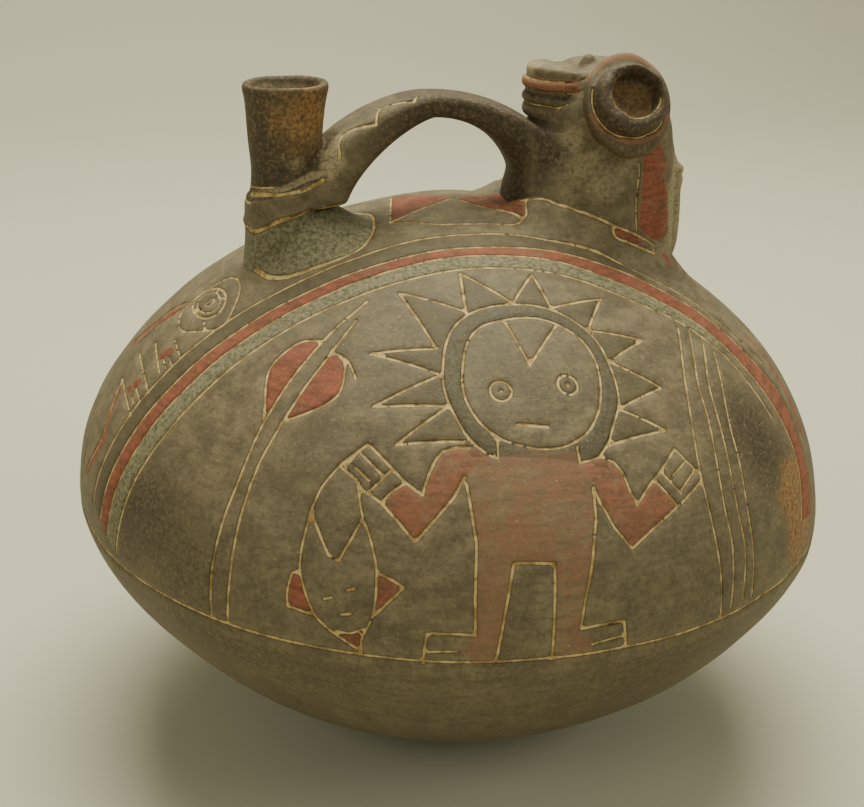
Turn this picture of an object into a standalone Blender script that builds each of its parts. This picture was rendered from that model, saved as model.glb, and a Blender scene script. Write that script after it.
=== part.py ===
"""Bridge and spout bottle: one hollow piece of fired clay.

A squat round body with a soft shoulder edge carries a short flaring spout and, opposite it, a
modelled animal head on a stout neck. A flat strap joins the two. The upper body is carved with
narrow grooves: bands, a rayed figure, a hanging head, a stalk with a leaf and rows of lines.

The bottle stands at the origin with its foot at z = 0. The spout is at -X, the head at +X, and
the carved figure faces -Y.
"""

from math import atan2, cos, pi, radians, sin, sqrt

import bmesh
import bpy
import numpy as np
from mathutils import Matrix, Vector
from mathutils.geometry import delaunay_2d_cdt

MM = 0.001

# Body: a dome over a bowl, both rounded squares turned about the upright axis
body_radius = 100.0 * MM
shoulder_height = 66.5 * MM
dome_rise = 78.9 * MM
dome_power_out = 1.575
dome_power_up = 2.094
bowl_depth = 69.1 * MM
bowl_power_out = 1.633
bowl_power_down = 1.483
body_wall = 5.5 * MM
shoulder_groove_width = 1.6 * MM
shoulder_groove_depth = 0.7 * MM
shoulder_lower_inset = 0.2 * MM

# Carved lines on the dome
groove_width = 1.5 * MM
groove_depth = 0.7 * MM
groove_step = 18.0 * MM
groove_slack = 0.25 * MM

# Heights above the top of the dome are counted from here
dome_top = shoulder_height + dome_rise

# Spout
spout_x = -45.0 * MM
spout_y = -1.4 * MM
spout_top = dome_top + 30.9 * MM
spout_lip_radius = 10.7 * MM
spout_waist_radius = 8.6 * MM
spout_foot_radius = 10.3 * MM
spout_bore_radius = 5.6 * MM
spout_lip_wall = 2.6 * MM
spout_lip_round = 1.2 * MM
spout_funnel = 9.0 * MM
spout_fillet = 7.0 * MM
fillet_cover = 1.2 * MM

# Collar round the spout, where the strap wraps it
collar_radius = 10.4 * MM
collar_bottom = dome_top - 1.1 * MM
collar_height = 7.0 * MM
collar_edge = 1.2 * MM
collar_slope_bottom = 0.40
collar_slope_top = 0.32

# Strap bridge
strap_crown = dome_top + 24.7 * MM
strap_head_spring = dome_top - 1.4 * MM
strap_start_inset = 8.7 * MM
strap_end_inset = 6.5 * MM
strap_crown_width = 12.4 * MM
strap_spout_width = 21.6 * MM
strap_head_width = 34.4 * MM
strap_crown_thickness = 5.0 * MM
strap_spout_thickness = 11.0 * MM
strap_head_thickness = 16.0 * MM
strap_wrap = 13.0 * MM
strap_root_run = 6.0 * MM
strap_spout_root_drop = 1.0 * MM
strap_head_root_drop = 4.5 * MM

# Head: the neck column, muzzle and side discs hang from these
head_front_x = 11.5 * MM
head_length = 47.5 * MM
head_width = 37.0 * MM
head_foot = dome_top - 17.4 * MM
head_height = 55.0 * MM
neck_fillet = 5.0 * MM
neck_hollow_radius = 9.0 * MM
neck_hollow_height = 34.0 * MM
neck_hollow_dome = (0.55, 0.90)
muzzle_tip_x = 16.6 * MM
muzzle_length = 22.0 * MM
muzzle_width = 19.0 * MM
disc_radius = 13.6 * MM
disc_round_radius = 9.9 * MM
disc_flange_narrowing = 0.3
disc_facing = (-0.074, -0.819, 0.523)
disc_height = 6.6 * MM
disc_sides = 18
far_disc_radius = 9.5 * MM
ridge_width = 6.0 * MM

# Fineness of the turned forms
body_sides = 56
cavity_sides = 28
spout_sides = 20
head_sides = 20
fillet_sides = 18
bed_spacing = 17.0 * MM

# The drawing is laid out flat, in units of which the dome's arc from top to shoulder has this many
DRAWING_SPAN = 138.7

# Materials, as base colour, roughness and metallic
CLAY = ("clay", (0.135, 0.105, 0.070, 1.0), 0.55, 0.0)


def make_material(name, colour, roughness, metallic):
    material = bpy.data.materials.new(name)
    material.use_nodes = True
    shader = material.node_tree.nodes["Principled BSDF"]
    shader.inputs["Base Color"].default_value = colour
    shader.inputs["Roughness"].default_value = roughness
    shader.inputs["Metallic"].default_value = metallic
    return material


def make_collection(name):
    collection = bpy.data.collections.new(name)
    bpy.context.scene.collection.children.link(collection)
    return collection


def add_object(name, mesh, collection):
    thing = bpy.data.objects.new(name, mesh)
    collection.objects.link(thing)
    return thing


def mesh_from_bmesh(name, bm):
    mesh = bpy.data.meshes.new(name)
    bm.to_mesh(mesh)
    bm.free()
    return mesh


def lay_tool(thing):
    """A form that is joined to or cut from the bottle is not itself a piece."""
    thing.hide_render = True
    thing.display_type = "WIRE"
    return thing


def turned(name, profile, sides, collection):
    """A closed or open turned shape: a profile of (radius, height), top to bottom, under a Screw."""
    bm = bmesh.new()
    points = [bm.verts.new((radius, 0.0, height)) for radius, height in profile]
    for upper, lower in zip(points, points[1:]):
        bm.edges.new((upper, lower))
    thing = add_object(name, mesh_from_bmesh(name, bm), collection)
    screw = thing.modifiers.new("turn", "SCREW")
    screw.axis = "Z"
    screw.steps = sides
    screw.render_steps = sides
    screw.use_merge_vertices = True
    screw.merge_threshold = 0.01 * MM
    screw.use_smooth_shade = False
    return thing


def loft(name, rings, collection):
    """A closed skin over rings that have the same number of points, with flat ends."""
    bm = bmesh.new()
    rows = [[bm.verts.new(point) for point in ring] for ring in rings]
    count = len(rows[0])
    for low, high in zip(rows, rows[1:]):
        for i in range(count):
            j = (i + 1) % count
            bm.faces.new((low[i], low[j], high[j], high[i]))
    bm.faces.new(list(reversed(rows[0])))
    bm.faces.new(rows[-1])
    bmesh.ops.recalc_face_normals(bm, faces=bm.faces)
    return add_object(name, mesh_from_bmesh(name, bm), collection)


def join(target, tool, operation):
    boolean = target.modifiers.new(tool.name, "BOOLEAN")
    boolean.operation = operation
    boolean.solver = "EXACT"
    boolean.object = lay_tool(tool)


# Body profile

def dome_profile(radius, rise, foot, count):
    """Points of (radius, height) from the top of a dome down to its widest circle."""
    angles = [pi / 2 * i / count for i in range(count + 1)]
    return [
        (radius * sin(a) ** (2 / dome_power_out), foot + rise * max(cos(a), 0.0) ** (2 / dome_power_up))
        for a in angles
    ]


def bowl_profile(radius, depth, top, floor, count):
    """Points of (radius, height) from a bowl's widest circle down to a flat floor."""
    reach = min(1.0, (top - floor) / depth)
    last = atan2(reach ** (bowl_power_down / 2), sqrt(max(0.0, 1 - reach ** bowl_power_down)))
    angles = [last * i / count for i in range(1, count + 1)]
    return [
        (radius * cos(a) ** (2 / bowl_power_out), top - depth * sin(a) ** (2 / bowl_power_down))
        for a in angles
    ]


FINE_DOME = np.array(dome_profile(body_radius, dome_rise, shoulder_height, 400))
FINE_STEPS = np.hypot(np.diff(FINE_DOME[:, 0]), np.diff(FINE_DOME[:, 1]))
FINE_ARC = np.concatenate([[0.0], np.cumsum(FINE_STEPS)])
dome_arc = FINE_ARC[-1]
drawing_unit = dome_arc / DRAWING_SPAN
rim_arc = dome_arc - 1.5 * shoulder_groove_width


def dome_height(radius):
    return float(np.interp(radius, FINE_DOME[:, 0], FINE_DOME[:, 1]))


def dome_surface(plan):
    """Points and outward normals of the dome for points of the flat drawing, in metres."""
    arc = np.hypot(plan[:, 0], plan[:, 1])
    turn = plan / np.maximum(arc, 1e-9)[:, None]
    radius = np.interp(arc, FINE_ARC, FINE_DOME[:, 0])
    height = np.interp(arc, FINE_ARC, FINE_DOME[:, 1])
    step = 0.5 * MM
    ahead = np.clip(arc + step, 0.0, dome_arc)
    behind = np.clip(arc - step, 0.0, dome_arc)
    out = np.interp(ahead, FINE_ARC, FINE_DOME[:, 0]) - np.interp(behind, FINE_ARC, FINE_DOME[:, 0])
    down = np.interp(behind, FINE_ARC, FINE_DOME[:, 1]) - np.interp(ahead, FINE_ARC, FINE_DOME[:, 1])
    length = np.hypot(out, down)
    points = np.column_stack([turn * radius[:, None], height])
    normals = np.column_stack([turn * (down / length)[:, None], out / length])
    return points, normals


# Drawing: strokes in drawing units, the dome's top at (0, 0) and the carved side toward -Y

def smooth(points):
    """A curve through few points, by cutting the corners of the line between them."""
    line = [np.array(p, float) for p in points]
    cut = [q for a, b in zip(line, line[1:]) for q in (0.75 * a + 0.25 * b, 0.25 * a + 0.75 * b)]
    return [line[0]] + cut[1:-1] + [line[-1]]


def ellipse(centre, radii, turn=0.0, start=0.0, stop=360.0, count=24):
    angles = [radians(start + (stop - start) * i / count) for i in range(count + 1)]
    c, s = cos(radians(turn)), sin(radians(turn))
    flat = [(radii[0] * cos(a), radii[1] * sin(a)) for a in angles]
    return [np.array((centre[0] + u * c - v * s, centre[1] + u * s + v * c)) for u, v in flat]


def band_line(offset, side):
    """A line of the bands that part the carved panel from the top, offset units toward the top."""
    crest_x, crest_y = -12.0, -36.0
    line = []
    for i in range(17):
        x = -127.0 + 235.0 * i / 16
        drop = 14.0 * ((crest_x - x) / 113.0) ** 1.6 if x < crest_x else 25.0 * ((x - crest_x) / 89.0) ** 2.2
        line.append(np.array((x, crest_y - drop + offset)))
    inside = [p for p in line if np.hypot(*p) < 134.5]
    return [np.array((p[0], side * p[1])) for p in inside]


def rayed_head():
    """A face in a wide ring, with ten pointed rays."""
    centre = (1.0, -71.5)
    outer = (22.0, 21.3)
    inner = (17.6, 17.4)
    strokes = [ellipse(centre, outer, 4.0, -62.0, 241.0, 18), ellipse(centre, inner, 4.0, -62.0, 241.0, 15)]
    strokes.append([(-10.0, -91.0), (-7.6, -87.2)])
    strokes.append([(10.2, -92.6), (8.6, -88.0)])
    rays = [
        (194, -35.3, -82.7, 212), (168, -38.7, -71.6, 192), (150, -36.0, -56.9, 167),
        (121, -24.8, -39.9, 149), (90, -8.6, -37.5, 120), (62, 9.6, -39.0, 88),
        (38, 26.3, -45.7, 60), (14, 35.2, -57.5, 36), (-8, 36.8, -71.7, 12), (-40, 35.6, -83.6, -20),
    ]
    for first, tip_x, tip_y, second in rays:
        for angle in (first, second):
            foot = ellipse(centre, outer, 4.0, angle, angle, 1)[0]
            strokes.append([foot, (tip_x, tip_y)])
    strokes.append([(-1.8, -55.1), (1.7, -69.2)])
    strokes.append([(1.7, -69.2), (11.2, -57.0)])
    for eye in ((-7.2, -75.0), (10.1, -74.3)):
        strokes.append(ellipse(eye, (2.9, 2.7), count=8))
    strokes.append([(-5.2, -83.9), (3.2, -85.2)])
    return strokes


def figure_body():
    """The body below the rayed head: arms bent up, short legs, feet turned out."""
    left_arm = [
        (-19.1, -87.5), (-24.0, -87.1), (-28.0, -91.1), (-31.8, -95.7), (-38.0, -87.5), (-41.6, -80.3),
        (-48.5, -83.8), (-44.4, -91.8), (-36.1, -105.3), (-20.5, -94.0),
    ]
    right_arm = [
        (9.4, -93.0), (16.4, -92.7), (20.4, -95.6), (23.9, -103.2), (32.0, -94.6), (37.4, -87.8),
        (44.8, -93.7), (36.2, -101.8), (21.6, -112.9), (12.4, -100.9),
    ]
    strokes = [left_arm, right_arm]
    strokes.append([(-20.5, -94.0), (-20.5, -104.0), (-22.8, -119.6), (-24.3, -129.2), (-24.6, -132.0)])
    strokes.append([(12.4, -99.6), (12.2, -108.0), (10.4, -118.6), (7.6, -131.2)])
    strokes.append([(-19.0, -135.4), (-11.5, -114.0), (-0.4, -116.2), (-1.6, -135.8)])
    strokes.append([(-24.3, -128.6), (-37.9, -125.7)])
    strokes.append([(-37.9, -125.7), (-40.2, -129.4), (-29.6, -131.4)])
    strokes.append([(7.6, -131.2), (21.2, -129.2), (21.6, -134.0), (10.4, -135.0)])
    left_wrist = [[(-45.0, -91.1), (-38.2, -88.1)], [(-46.6, -86.5), (-40.5, -84.0)]]
    right_wrist = [[(30.2, -97.2), (36.2, -101.8)], [(33.6, -93.6), (40.4, -98.0)]]
    return strokes + left_wrist + right_wrist


def hanging_head():
    """The long head that hangs from the figure's hand, with a cap, two ears and a chin."""
    chin = (-57.9, -124.3)
    left = [(-48.0, -83.0), (-55.6, -85.0), (-59.4, -88.9), (-65.4, -96.0), (-68.2, -105.5), (-63.6, -117.3)]
    right = [(-48.0, -84.0), (-46.8, -92.0), (-47.2, -102.0), (-48.4, -111.0), (-51.6, -117.6)]
    strokes = [smooth(left + [chin]), smooth(right + [chin])]
    strokes.append([(-59.4, -90.0), (-58.7, -98.8), (-56.7, -103.4), (-52.0, -99.3), (-47.3, -95.7)])
    strokes.append([(-68.3, -100.6), (-74.6, -105.4), (-67.3, -111.6)])
    strokes.append([(-47.4, -108.2), (-41.4, -113.6), (-50.3, -116.4)])
    strokes.append([(-64.2, -109.0), (-61.4, -109.6)])
    strokes.append([(-57.2, -109.8), (-54.2, -109.9)])
    strokes.append([(-60.4, -114.4), (-57.4, -115.0)])
    strokes.append([(-63.4, -117.0), (-55.4, -119.4)])
    return strokes


def stalk_and_leaf():
    """A long curved stalk of two lines, with a round leaf on each side of it."""
    left = [(-32.7, -39.9), (-46.4, -48.4), (-64.2, -61.7), (-74.8, -71.2), (-84.3, -78.9), (-96.0, -90.0)]
    right = [(-40.7, -62.8), (-41.5, -56.6), (-44.8, -51.9), (-58.7, -63.7), (-70.4, -72.6), (-77.8, -79.9),
             (-92.6, -96.0)]
    upper_leaf = [(-46.4, -48.4), (-51.7, -44.9), (-59.1, -47.4), (-63.0, -54.0), (-64.6, -61.6)]
    lower_leaf = [(-42.4, -55.6), (-43.0, -60.0), (-46.4, -65.2), (-53.5, -66.6), (-61.3, -65.6)]
    return [smooth(left), right, smooth(upper_leaf), smooth(lower_leaf)]


def falling_lines():
    """Four lines that fall from the bands to the shoulder, beside the figure."""
    strokes = []
    for head, bend, foot in (
        ((48.2, -49.4), (43.6, -84.0), (58.2, -121.4)), ((52.2, -50.4), (48.6, -84.0), (62.4, -119.0)),
        ((56.4, -52.4), (53.4, -80.0), (67.2, -115.6)), ((60.4, -54.4), (58.4, -80.0), (72.0, -112.8)),
    ):
        strokes.append(smooth([head, bend, foot]))
    return strokes


def top_panel(side):
    """The long panel under the bridge, crossed from corner to corner."""
    corners = [(-19.0, side * 9.6), (12.0, side * 12.6), (12.0, 0.0), (-19.0, 0.0)]
    strokes = [corners[3:] + corners[:3]]
    strokes.append([corners[0], (-3.0, 0.0), corners[1]])
    return strokes


def flank_creature(side):
    """The creature beside the spout: an eye in a loop, a long back and two clawed paws."""
    strokes = [ellipse((-69.7, -7.4), (4.4, 6.4), -20.0, count=10)]
    strokes.append(smooth([(-73.8, -19.5), (-67.6, -22.0), (-62.0, -14.4), (-60.9, -5.7), (-63.4, 1.6),
                           (-69.6, 4.2), (-76.6, 1.2), (-79.6, -6.0), (-79.0, -13.0), (-73.8, -19.5)]))
    strokes.append(smooth([(-76.6, 1.2), (-84.6, 4.6), (-96.0, 2.0), (-112.0, -16.4), (-124.0, -12.1)]))
    for near, far in ((-81.7, -87.8), (-93.2, -100.4)):
        strokes.append([(near, -1.5 if near > -90 else -0.3), (near, -23.8)])
        strokes.append([(far, -3.2), (far, -23.8)])
        strokes.append([(near, -15.8), (far, -13.2)])
        middle = (near + far) / 2
        strokes.append([(middle, -15.0), (middle, -23.2)])
    return [[(p[0], side * p[1]) for p in stroke] for stroke in strokes]


def drawing_strokes():
    strokes = []
    for side, offsets in ((1, (0.0, 5.1, 9.5, 15.0)), (-1, (5.1,))):
        for offset in offsets:
            strokes.append(band_line(offset, side))
        strokes += top_panel(-side)
    strokes += rayed_head() + figure_body() + hanging_head() + stalk_and_leaf() + falling_lines()
    strokes += flank_creature(1)
    return strokes


# Grooves: each stroke becomes a narrow strip with a sunk middle line

def split_at_corners(points, limit=35.0):
    """Parts a line where it turns by more than the limit, in degrees."""
    line = [np.array(p, float) for p in points]
    parts = [[line[0]]]
    for before, here, after in zip(line, line[1:], line[2:]):
        parts[-1].append(here)
        a = here - before
        b = after - here
        turn = abs(atan2(a[0] * b[1] - a[1] * b[0], float(a @ b)))
        if turn > radians(limit):
            parts.append([here])
    parts[-1].append(line[-1])
    return parts


def thin_out(points, slack):
    """Leaves out points that stand less than the slack off the line between their neighbours."""
    line = [points[0]]
    for here, after in zip(points[1:], points[2:]):
        chord = after - line[-1]
        off = here - line[-1]
        if abs(chord[0] * off[1] - chord[1] * off[0]) > slack * np.hypot(*chord):
            line.append(here)
    return line + [points[-1]]


def resample(points, step):
    """Adds points so that no length of a line is over the step."""
    line = [points[0]]
    for a, b in zip(points, points[1:]):
        count = max(1, int(np.ceil(np.hypot(*(b - a)) / step)))
        line += [a + (b - a) * i / count for i in range(1, count + 1)]
    return line


def off_fillets(plan):
    """Which points of the flat drawing lie clear of the fillets round the spout and the neck."""
    place = dome_surface(plan)[0]
    return (spout_distance(place) > spout_fillet) & (neck_distance(place) > neck_fillet)


def clear_runs(points):
    """The stretches of a line that lie clear of the fillets."""
    runs = [[]]
    for point, free in zip(points, off_fillets(np.array(points))):
        if free:
            runs[-1].append(point)
        elif runs[-1]:
            runs.append([])
    return [run for run in runs if len(run) > 1]


def strip_points(line, half):
    """The two edge lines of a strip along a line, mitred at its bends."""
    edge = []
    for i, point in enumerate(line):
        before = line[max(i - 1, 0)]
        after = line[min(i + 1, len(line) - 1)]
        along = (after - before) / np.hypot(*(after - before))
        edge.append(np.array((-along[1], along[0])) * half)
    left = [p + e for p, e in zip(line, edge)]
    right = [p - e for p, e in zip(line, edge)]
    return left, right


def inside_rim(point, margin):
    """A point of the drawing, pulled in where it would pass the dome's rim."""
    reach = rim_arc - margin
    return point * min(1.0, reach / max(np.hypot(*point), 1e-9))


def carve_layout(strokes):
    """Points and edges of all groove strips on the flat drawing, and the lines down their middles."""
    points = []
    edges = []
    middles = []
    half = groove_width / 2
    parts = [part for stroke in strokes for part in split_at_corners(stroke)]
    for part in parts:
        inner = [inside_rim(drawing_unit * p, 2 * groove_width) for p in part]
        for run in clear_runs(resample(inner, 2 * groove_width)):
            line = resample(thin_out(run, groove_slack), groove_step)
            left, right = strip_points(line, half)
            start = line[0] - (line[1] - line[0]) / np.hypot(*(line[1] - line[0])) * half
            end = line[-1] + (line[-1] - line[-2]) / np.hypot(*(line[-1] - line[-2])) * half
            for chain in (line, [start] + left + [end], [start] + right + [end]):
                first = len(points)
                points += chain
                edges += [(first + i, first + i + 1) for i in range(len(chain) - 1)]
            middles += list(zip(line, line[1:]))
    return points, edges, np.array(middles)


def distance_to_lines(points, lines):
    """The distance from each point to the nearest of the straight lines."""
    nearest = np.full(len(points), 1.0)
    for a, b in lines:
        along = b - a
        share = np.clip(((points - a) @ along) / (along @ along), 0.0, 1.0)
        away = points - a - share[:, None] * along
        nearest = np.minimum(nearest, np.hypot(away[:, 0], away[:, 1]))
    return nearest


def fillet_rise(distance, width):
    """The height of a round fillet at a distance from the wall that it climbs."""
    share = np.clip(1.0 - distance / width, 0.0, 1.0)
    return width * (1.0 - np.sqrt(1.0 - share ** 2))


def neck_distance(points):
    """How far points stand off the neck column's oval foot, in plan, counted from just inside it."""
    across = (points[:, 0] - head_centre_x) / (head_length / 2)
    deep = points[:, 1] / (head_width / 2)
    return (np.hypot(across, deep) - 1.0) * sqrt(head_length * head_width) / 2 + fillet_cover


def spout_distance(points):
    return np.hypot(points[:, 0] - spout_x, points[:, 1] - spout_y) - spout_foot_radius + fillet_cover


head_centre_x = head_front_x + head_length / 2


def plan_of(points):
    """The flat drawing's place of points given by their plan on the dome."""
    radius = np.hypot(points[:, 0], points[:, 1])
    arc = np.interp(radius, FINE_DOME[:, 0], FINE_ARC)
    return points * (arc / np.maximum(radius, 1e-9))[:, None]


def bed_points(middles):
    """Points that carry the dome's curve between the grooves, and round the spout and the neck."""
    bed = [np.zeros((1, 2))]
    rings = int(rim_arc / bed_spacing)
    for ring in range(1, rings):
        arc = rim_arc * ring / rings
        count = max(6, int(2 * pi * np.interp(arc, FINE_ARC, FINE_DOME[:, 0]) / bed_spacing))
        angles = 2 * pi * (np.arange(count) + 0.5 * (ring % 2)) / count
        bed.append(arc * np.column_stack([np.cos(angles), np.sin(angles)]))
    bed = np.concatenate(bed)
    bed = [bed[off_fillets(bed)]]
    angles = 2 * pi * np.arange(fillet_sides) / fillet_sides
    circle = np.column_stack([np.cos(angles), np.sin(angles)])
    for share in (0.0, 0.2, 0.5, 1.0):
        spout_ring = spout_foot_radius - fillet_cover + share * spout_fillet
        neck_ring = np.array((head_length / 2, head_width / 2)) - fillet_cover + share * neck_fillet
        bed.append(plan_of(spout_ring * circle + np.array((spout_x, spout_y))))
        bed.append(plan_of(neck_ring * circle + np.array((head_centre_x, 0.0))))
    bed = np.concatenate(bed)
    return bed[distance_to_lines(bed, middles) > 1.6 * groove_width]


def carved_dome():
    """The dome's outer skin, with its grooves, as points and triangles."""
    points, edges, middles = carve_layout(drawing_strokes())
    angles = 2 * pi * np.arange(body_sides) / body_sides
    rim = rim_arc * np.column_stack([np.cos(angles), np.sin(angles)])
    points = np.concatenate([rim, np.array(points), bed_points(middles)])
    edges = [(a + body_sides, b + body_sides) for a, b in edges]
    edges += [(i, (i + 1) % body_sides) for i in range(body_sides)]
    inside = [Vector(p / MM) for p in points]
    flat, _, faces, _, _, _ = delaunay_2d_cdt(inside, edges, [], 0, 0.05)
    flat = np.array([tuple(p) for p in flat]) * MM
    place, normal = dome_surface(flat)
    depth = groove_depth * np.clip(1.0 - distance_to_lines(flat, middles) / (groove_width / 2), 0.0, 1.0)
    rise = fillet_rise(spout_distance(place), spout_fillet) + fillet_rise(neck_distance(place), neck_fillet)
    at_rim = np.hypot(flat[:, 0], flat[:, 1]) > rim_arc - 0.01 * MM
    place -= normal * np.where(at_rim, 0.0, depth)[:, None]
    place[:, 2] += rise
    return place, faces


def outer_body(collection):
    """Dome and bowl as one closed skin, with the shoulder groove between them."""
    bm = bmesh.new()
    points, faces = carved_dome()
    skin = [bm.verts.new(p) for p in points]
    for face in faces:
        bm.faces.new([skin[i] for i in face])
    rim_radius = float(np.interp(rim_arc, FINE_ARC, FINE_DOME[:, 0]))
    rim_height = float(np.interp(rim_arc, FINE_ARC, FINE_DOME[:, 1]))
    profile = [(rim_radius, rim_height)]
    half = shoulder_groove_width / 2
    profile.append((body_radius, shoulder_height + half))
    profile.append((body_radius - shoulder_groove_depth, shoulder_height))
    profile.append((body_radius - shoulder_lower_inset, shoulder_height - half))
    bowl = bowl_profile(body_radius, bowl_depth, shoulder_height, 0.0, 8)
    profile += [p for p in bowl if p[1] < shoulder_height - 2 * half]
    profile.append((0.0, 0.0))
    bowl_object = turned("bowl", profile, body_sides, collection)
    depsgraph = bpy.context.evaluated_depsgraph_get()
    bowl_mesh = bpy.data.meshes.new_from_object(bowl_object.evaluated_get(depsgraph))
    bm.from_mesh(bowl_mesh)
    bpy.data.objects.remove(bowl_object)
    bmesh.ops.remove_doubles(bm, verts=bm.verts, dist=0.01 * MM)
    bmesh.ops.recalc_face_normals(bm, faces=bm.faces)
    return mesh_from_bmesh("body", bm)


def cavity(collection):
    """The hollow of the body, a body wall inside its outer skin."""
    radius = body_radius - body_wall
    profile = dome_profile(radius, dome_rise - body_wall, shoulder_height, 8)
    profile += bowl_profile(radius, bowl_depth - body_wall, shoulder_height, body_wall, 5)
    profile.append((0.0, body_wall))
    return turned("cavity", profile, cavity_sides, collection)


def spout_form(collection):
    """The spout's outer form: a flaring lip, a waist and a foot sunk in the dome."""
    foot = dome_height(abs(spout_x)) - 3 * body_wall
    length = spout_top - dome_height(abs(spout_x))
    lip = spout_lip_radius
    waist = spout_waist_radius
    turn_in = spout_lip_round
    profile = [
        (0.0, spout_top - turn_in), (lip - spout_lip_wall, spout_top - turn_in / 2),
        (lip - turn_in, spout_top), (lip - 0.2 * turn_in, spout_top - 0.4 * turn_in),
        (lip, spout_top - turn_in),
        (lip - 0.45 * (lip - waist), spout_top - 0.13 * length),
        (lip - 0.62 * (lip - waist), spout_top - 0.30 * length),
        (waist, spout_top - 0.48 * length), (waist, spout_top - 0.56 * length),
        (spout_foot_radius, spout_top - 0.85 * length), (spout_foot_radius, foot), (0.0, foot),
    ]
    form = turned("spout", profile, spout_sides, collection)
    form.location = (spout_x, spout_y, 0.0)
    return form


def spout_bore(collection):
    top = spout_top + spout_lip_round
    mouth = spout_lip_radius - spout_lip_wall
    bottom = dome_height(abs(spout_x)) - 4 * body_wall
    narrow = spout_top - spout_funnel
    profile = [(0.0, top), (mouth, top), (mouth, spout_top - spout_lip_round), (spout_bore_radius, narrow)]
    profile += [(spout_bore_radius, bottom), (0.0, bottom)]
    bore = turned("bore", profile, 20, collection)
    bore.location = (spout_x, spout_y, 0.0)
    return bore


def collar_form(collection):
    """The band round the spout, its edges slanting up toward the strap."""
    rings = []
    for height, slope, radius in (
        (0.0, collar_slope_bottom, collar_radius - collar_edge),
        (collar_edge, collar_slope_bottom, collar_radius),
        (collar_height - collar_edge, collar_slope_top, collar_radius - 0.3 * collar_edge),
        (collar_height, collar_slope_top, spout_waist_radius - 0.5 * collar_edge),
    ):
        ring = []
        for i in range(spout_sides):
            a = 2 * pi * (i + 0.5) / spout_sides
            x = radius * cos(a)
            z = collar_bottom + height + slope * x
            ring.append((spout_x + x, spout_y + radius * sin(a), z))
        rings.append(ring)
    return loft("collar", rings, collection)


def strap_station(angle):
    """Centre, half width and half thickness of the strap at an angle along its arch."""
    start_x = spout_x + strap_start_inset
    end_x = head_front_x + strap_end_inset
    middle_x = (start_x + end_x) / 2
    half_span = (end_x - start_x) / 2
    c = cos(angle)
    power = 1.5 if c < 0 else 2.1
    spring = collar_bottom + collar_height / 2 if c < 0 else strap_head_spring
    share = abs(c)
    x = middle_x + half_span * c
    z = spring + (strap_crown - spring) * max(0.0, 1.0 - share ** power) ** (1.0 / power)
    if c < 0:
        width = strap_crown_width + (strap_spout_width - strap_crown_width) * share ** 1.2
        thickness = strap_crown_thickness + (strap_spout_thickness - strap_crown_thickness) * share
    else:
        width = strap_crown_width + (strap_head_width - strap_crown_width) * share ** 3
        thickness = strap_crown_thickness + (strap_head_thickness - strap_crown_thickness) * share ** 2
    return x, z, width / 2, thickness / 2


def strap_form(collection):
    """The flat strap: rounded sections set square to its arch, bent round the neck at its end."""
    count = 14
    angles = [pi * (1 - i / count) for i in range(count + 1)]
    stations = [strap_station(a) for a in angles]
    rings = []
    for i, (x, z, half_width, half_thickness) in enumerate(stations):
        before = stations[max(i - 1, 0)]
        after = stations[min(i + 1, count)]
        along = Vector((after[0] - before[0], 0.0, after[1] - before[1])).normalized()
        out = Vector((-along.z, 0.0, along.x))
        ring = []
        wrap = strap_wrap * max(0.0, cos(angles[i])) ** 3
        for j in range(12):
            a = 2 * pi * (j + 0.5) / 12
            u = np.sign(cos(a)) * abs(cos(a)) ** 0.45
            v = half_thickness * np.sign(sin(a)) * abs(sin(a)) ** 0.6
            ring.append(Vector((x + wrap * u * u, half_width * u, z)) + out * v)
        rings.append(ring)
    spout_root = [p - Vector((strap_root_run, 0.0, strap_spout_root_drop)) for p in rings[0]]
    head_root = [p - Vector((0.0, 0.0, strap_head_root_drop)) for p in rings[-1]]
    return loft("strap", [spout_root] + rings + [head_root], collection)


def oval(centre_x, half_length, half_width, height, count=head_sides, power=2.3):
    """A rounded oval at a height, for the column of the neck and skull."""
    ring = []
    for i in range(count):
        a = 2 * pi * (i + 0.5) / count
        u = np.sign(cos(a)) * abs(cos(a)) ** (2 / power)
        v = np.sign(sin(a)) * abs(sin(a)) ** (2 / power)
        ring.append((centre_x + half_length * u, half_width * v, height))
    return ring


def neck_form(collection):
    """Neck and skull as one column; shares of the head's length, width and height."""
    shares = [
        (-0.08, 0.00, 1.00, 1.02), (0.22, 0.00, 0.98, 1.00), (0.40, 0.01, 0.95, 0.95),
        (0.53, 0.03, 0.87, 0.90), (0.66, 0.05, 0.79, 0.86), (0.77, 0.04, 0.72, 0.84),
        (0.84, 0.06, 0.60, 0.78), (0.91, 0.03, 0.50, 0.64), (0.95, 0.00, 0.36, 0.46),
        (0.968, -0.02, 0.18, 0.22),
    ]
    rings = []
    for up, forward, long, wide in shares:
        centre_x = head_centre_x + forward * head_length
        height = head_foot + up * head_height
        rings.append(oval(centre_x, long * head_length / 2, wide * head_width / 2, height))
    return loft("neck", rings, collection)


def muzzle_form(collection):
    """Nose over two lips: the muzzle's outline has a share of its full radius at each height."""
    rings = []
    tip_radius = muzzle_width / 2
    back_x = muzzle_tip_x + muzzle_length
    for up, share in (
        (0.742, 0.66), (0.752, 0.89), (0.775, 0.98), (0.808, 0.97), (0.818, 0.83), (0.827, 0.83),
        (0.836, 0.99), (0.858, 1.03), (0.876, 0.99), (0.888, 0.83), (0.914, 0.90), (0.938, 0.84),
        (0.955, 0.56),
    ):
        radius = tip_radius * share
        height = head_foot + up * head_height
        ring = []
        for i in range(12):
            a = pi / 2 + pi * i / 11
            ring.append((muzzle_tip_x + tip_radius + radius * cos(a), radius * sin(a), height))
        ring += [(back_x, -radius, height), (back_x, radius, height)]
        rings.append(ring)
    return loft("muzzle", rings, collection)


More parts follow.
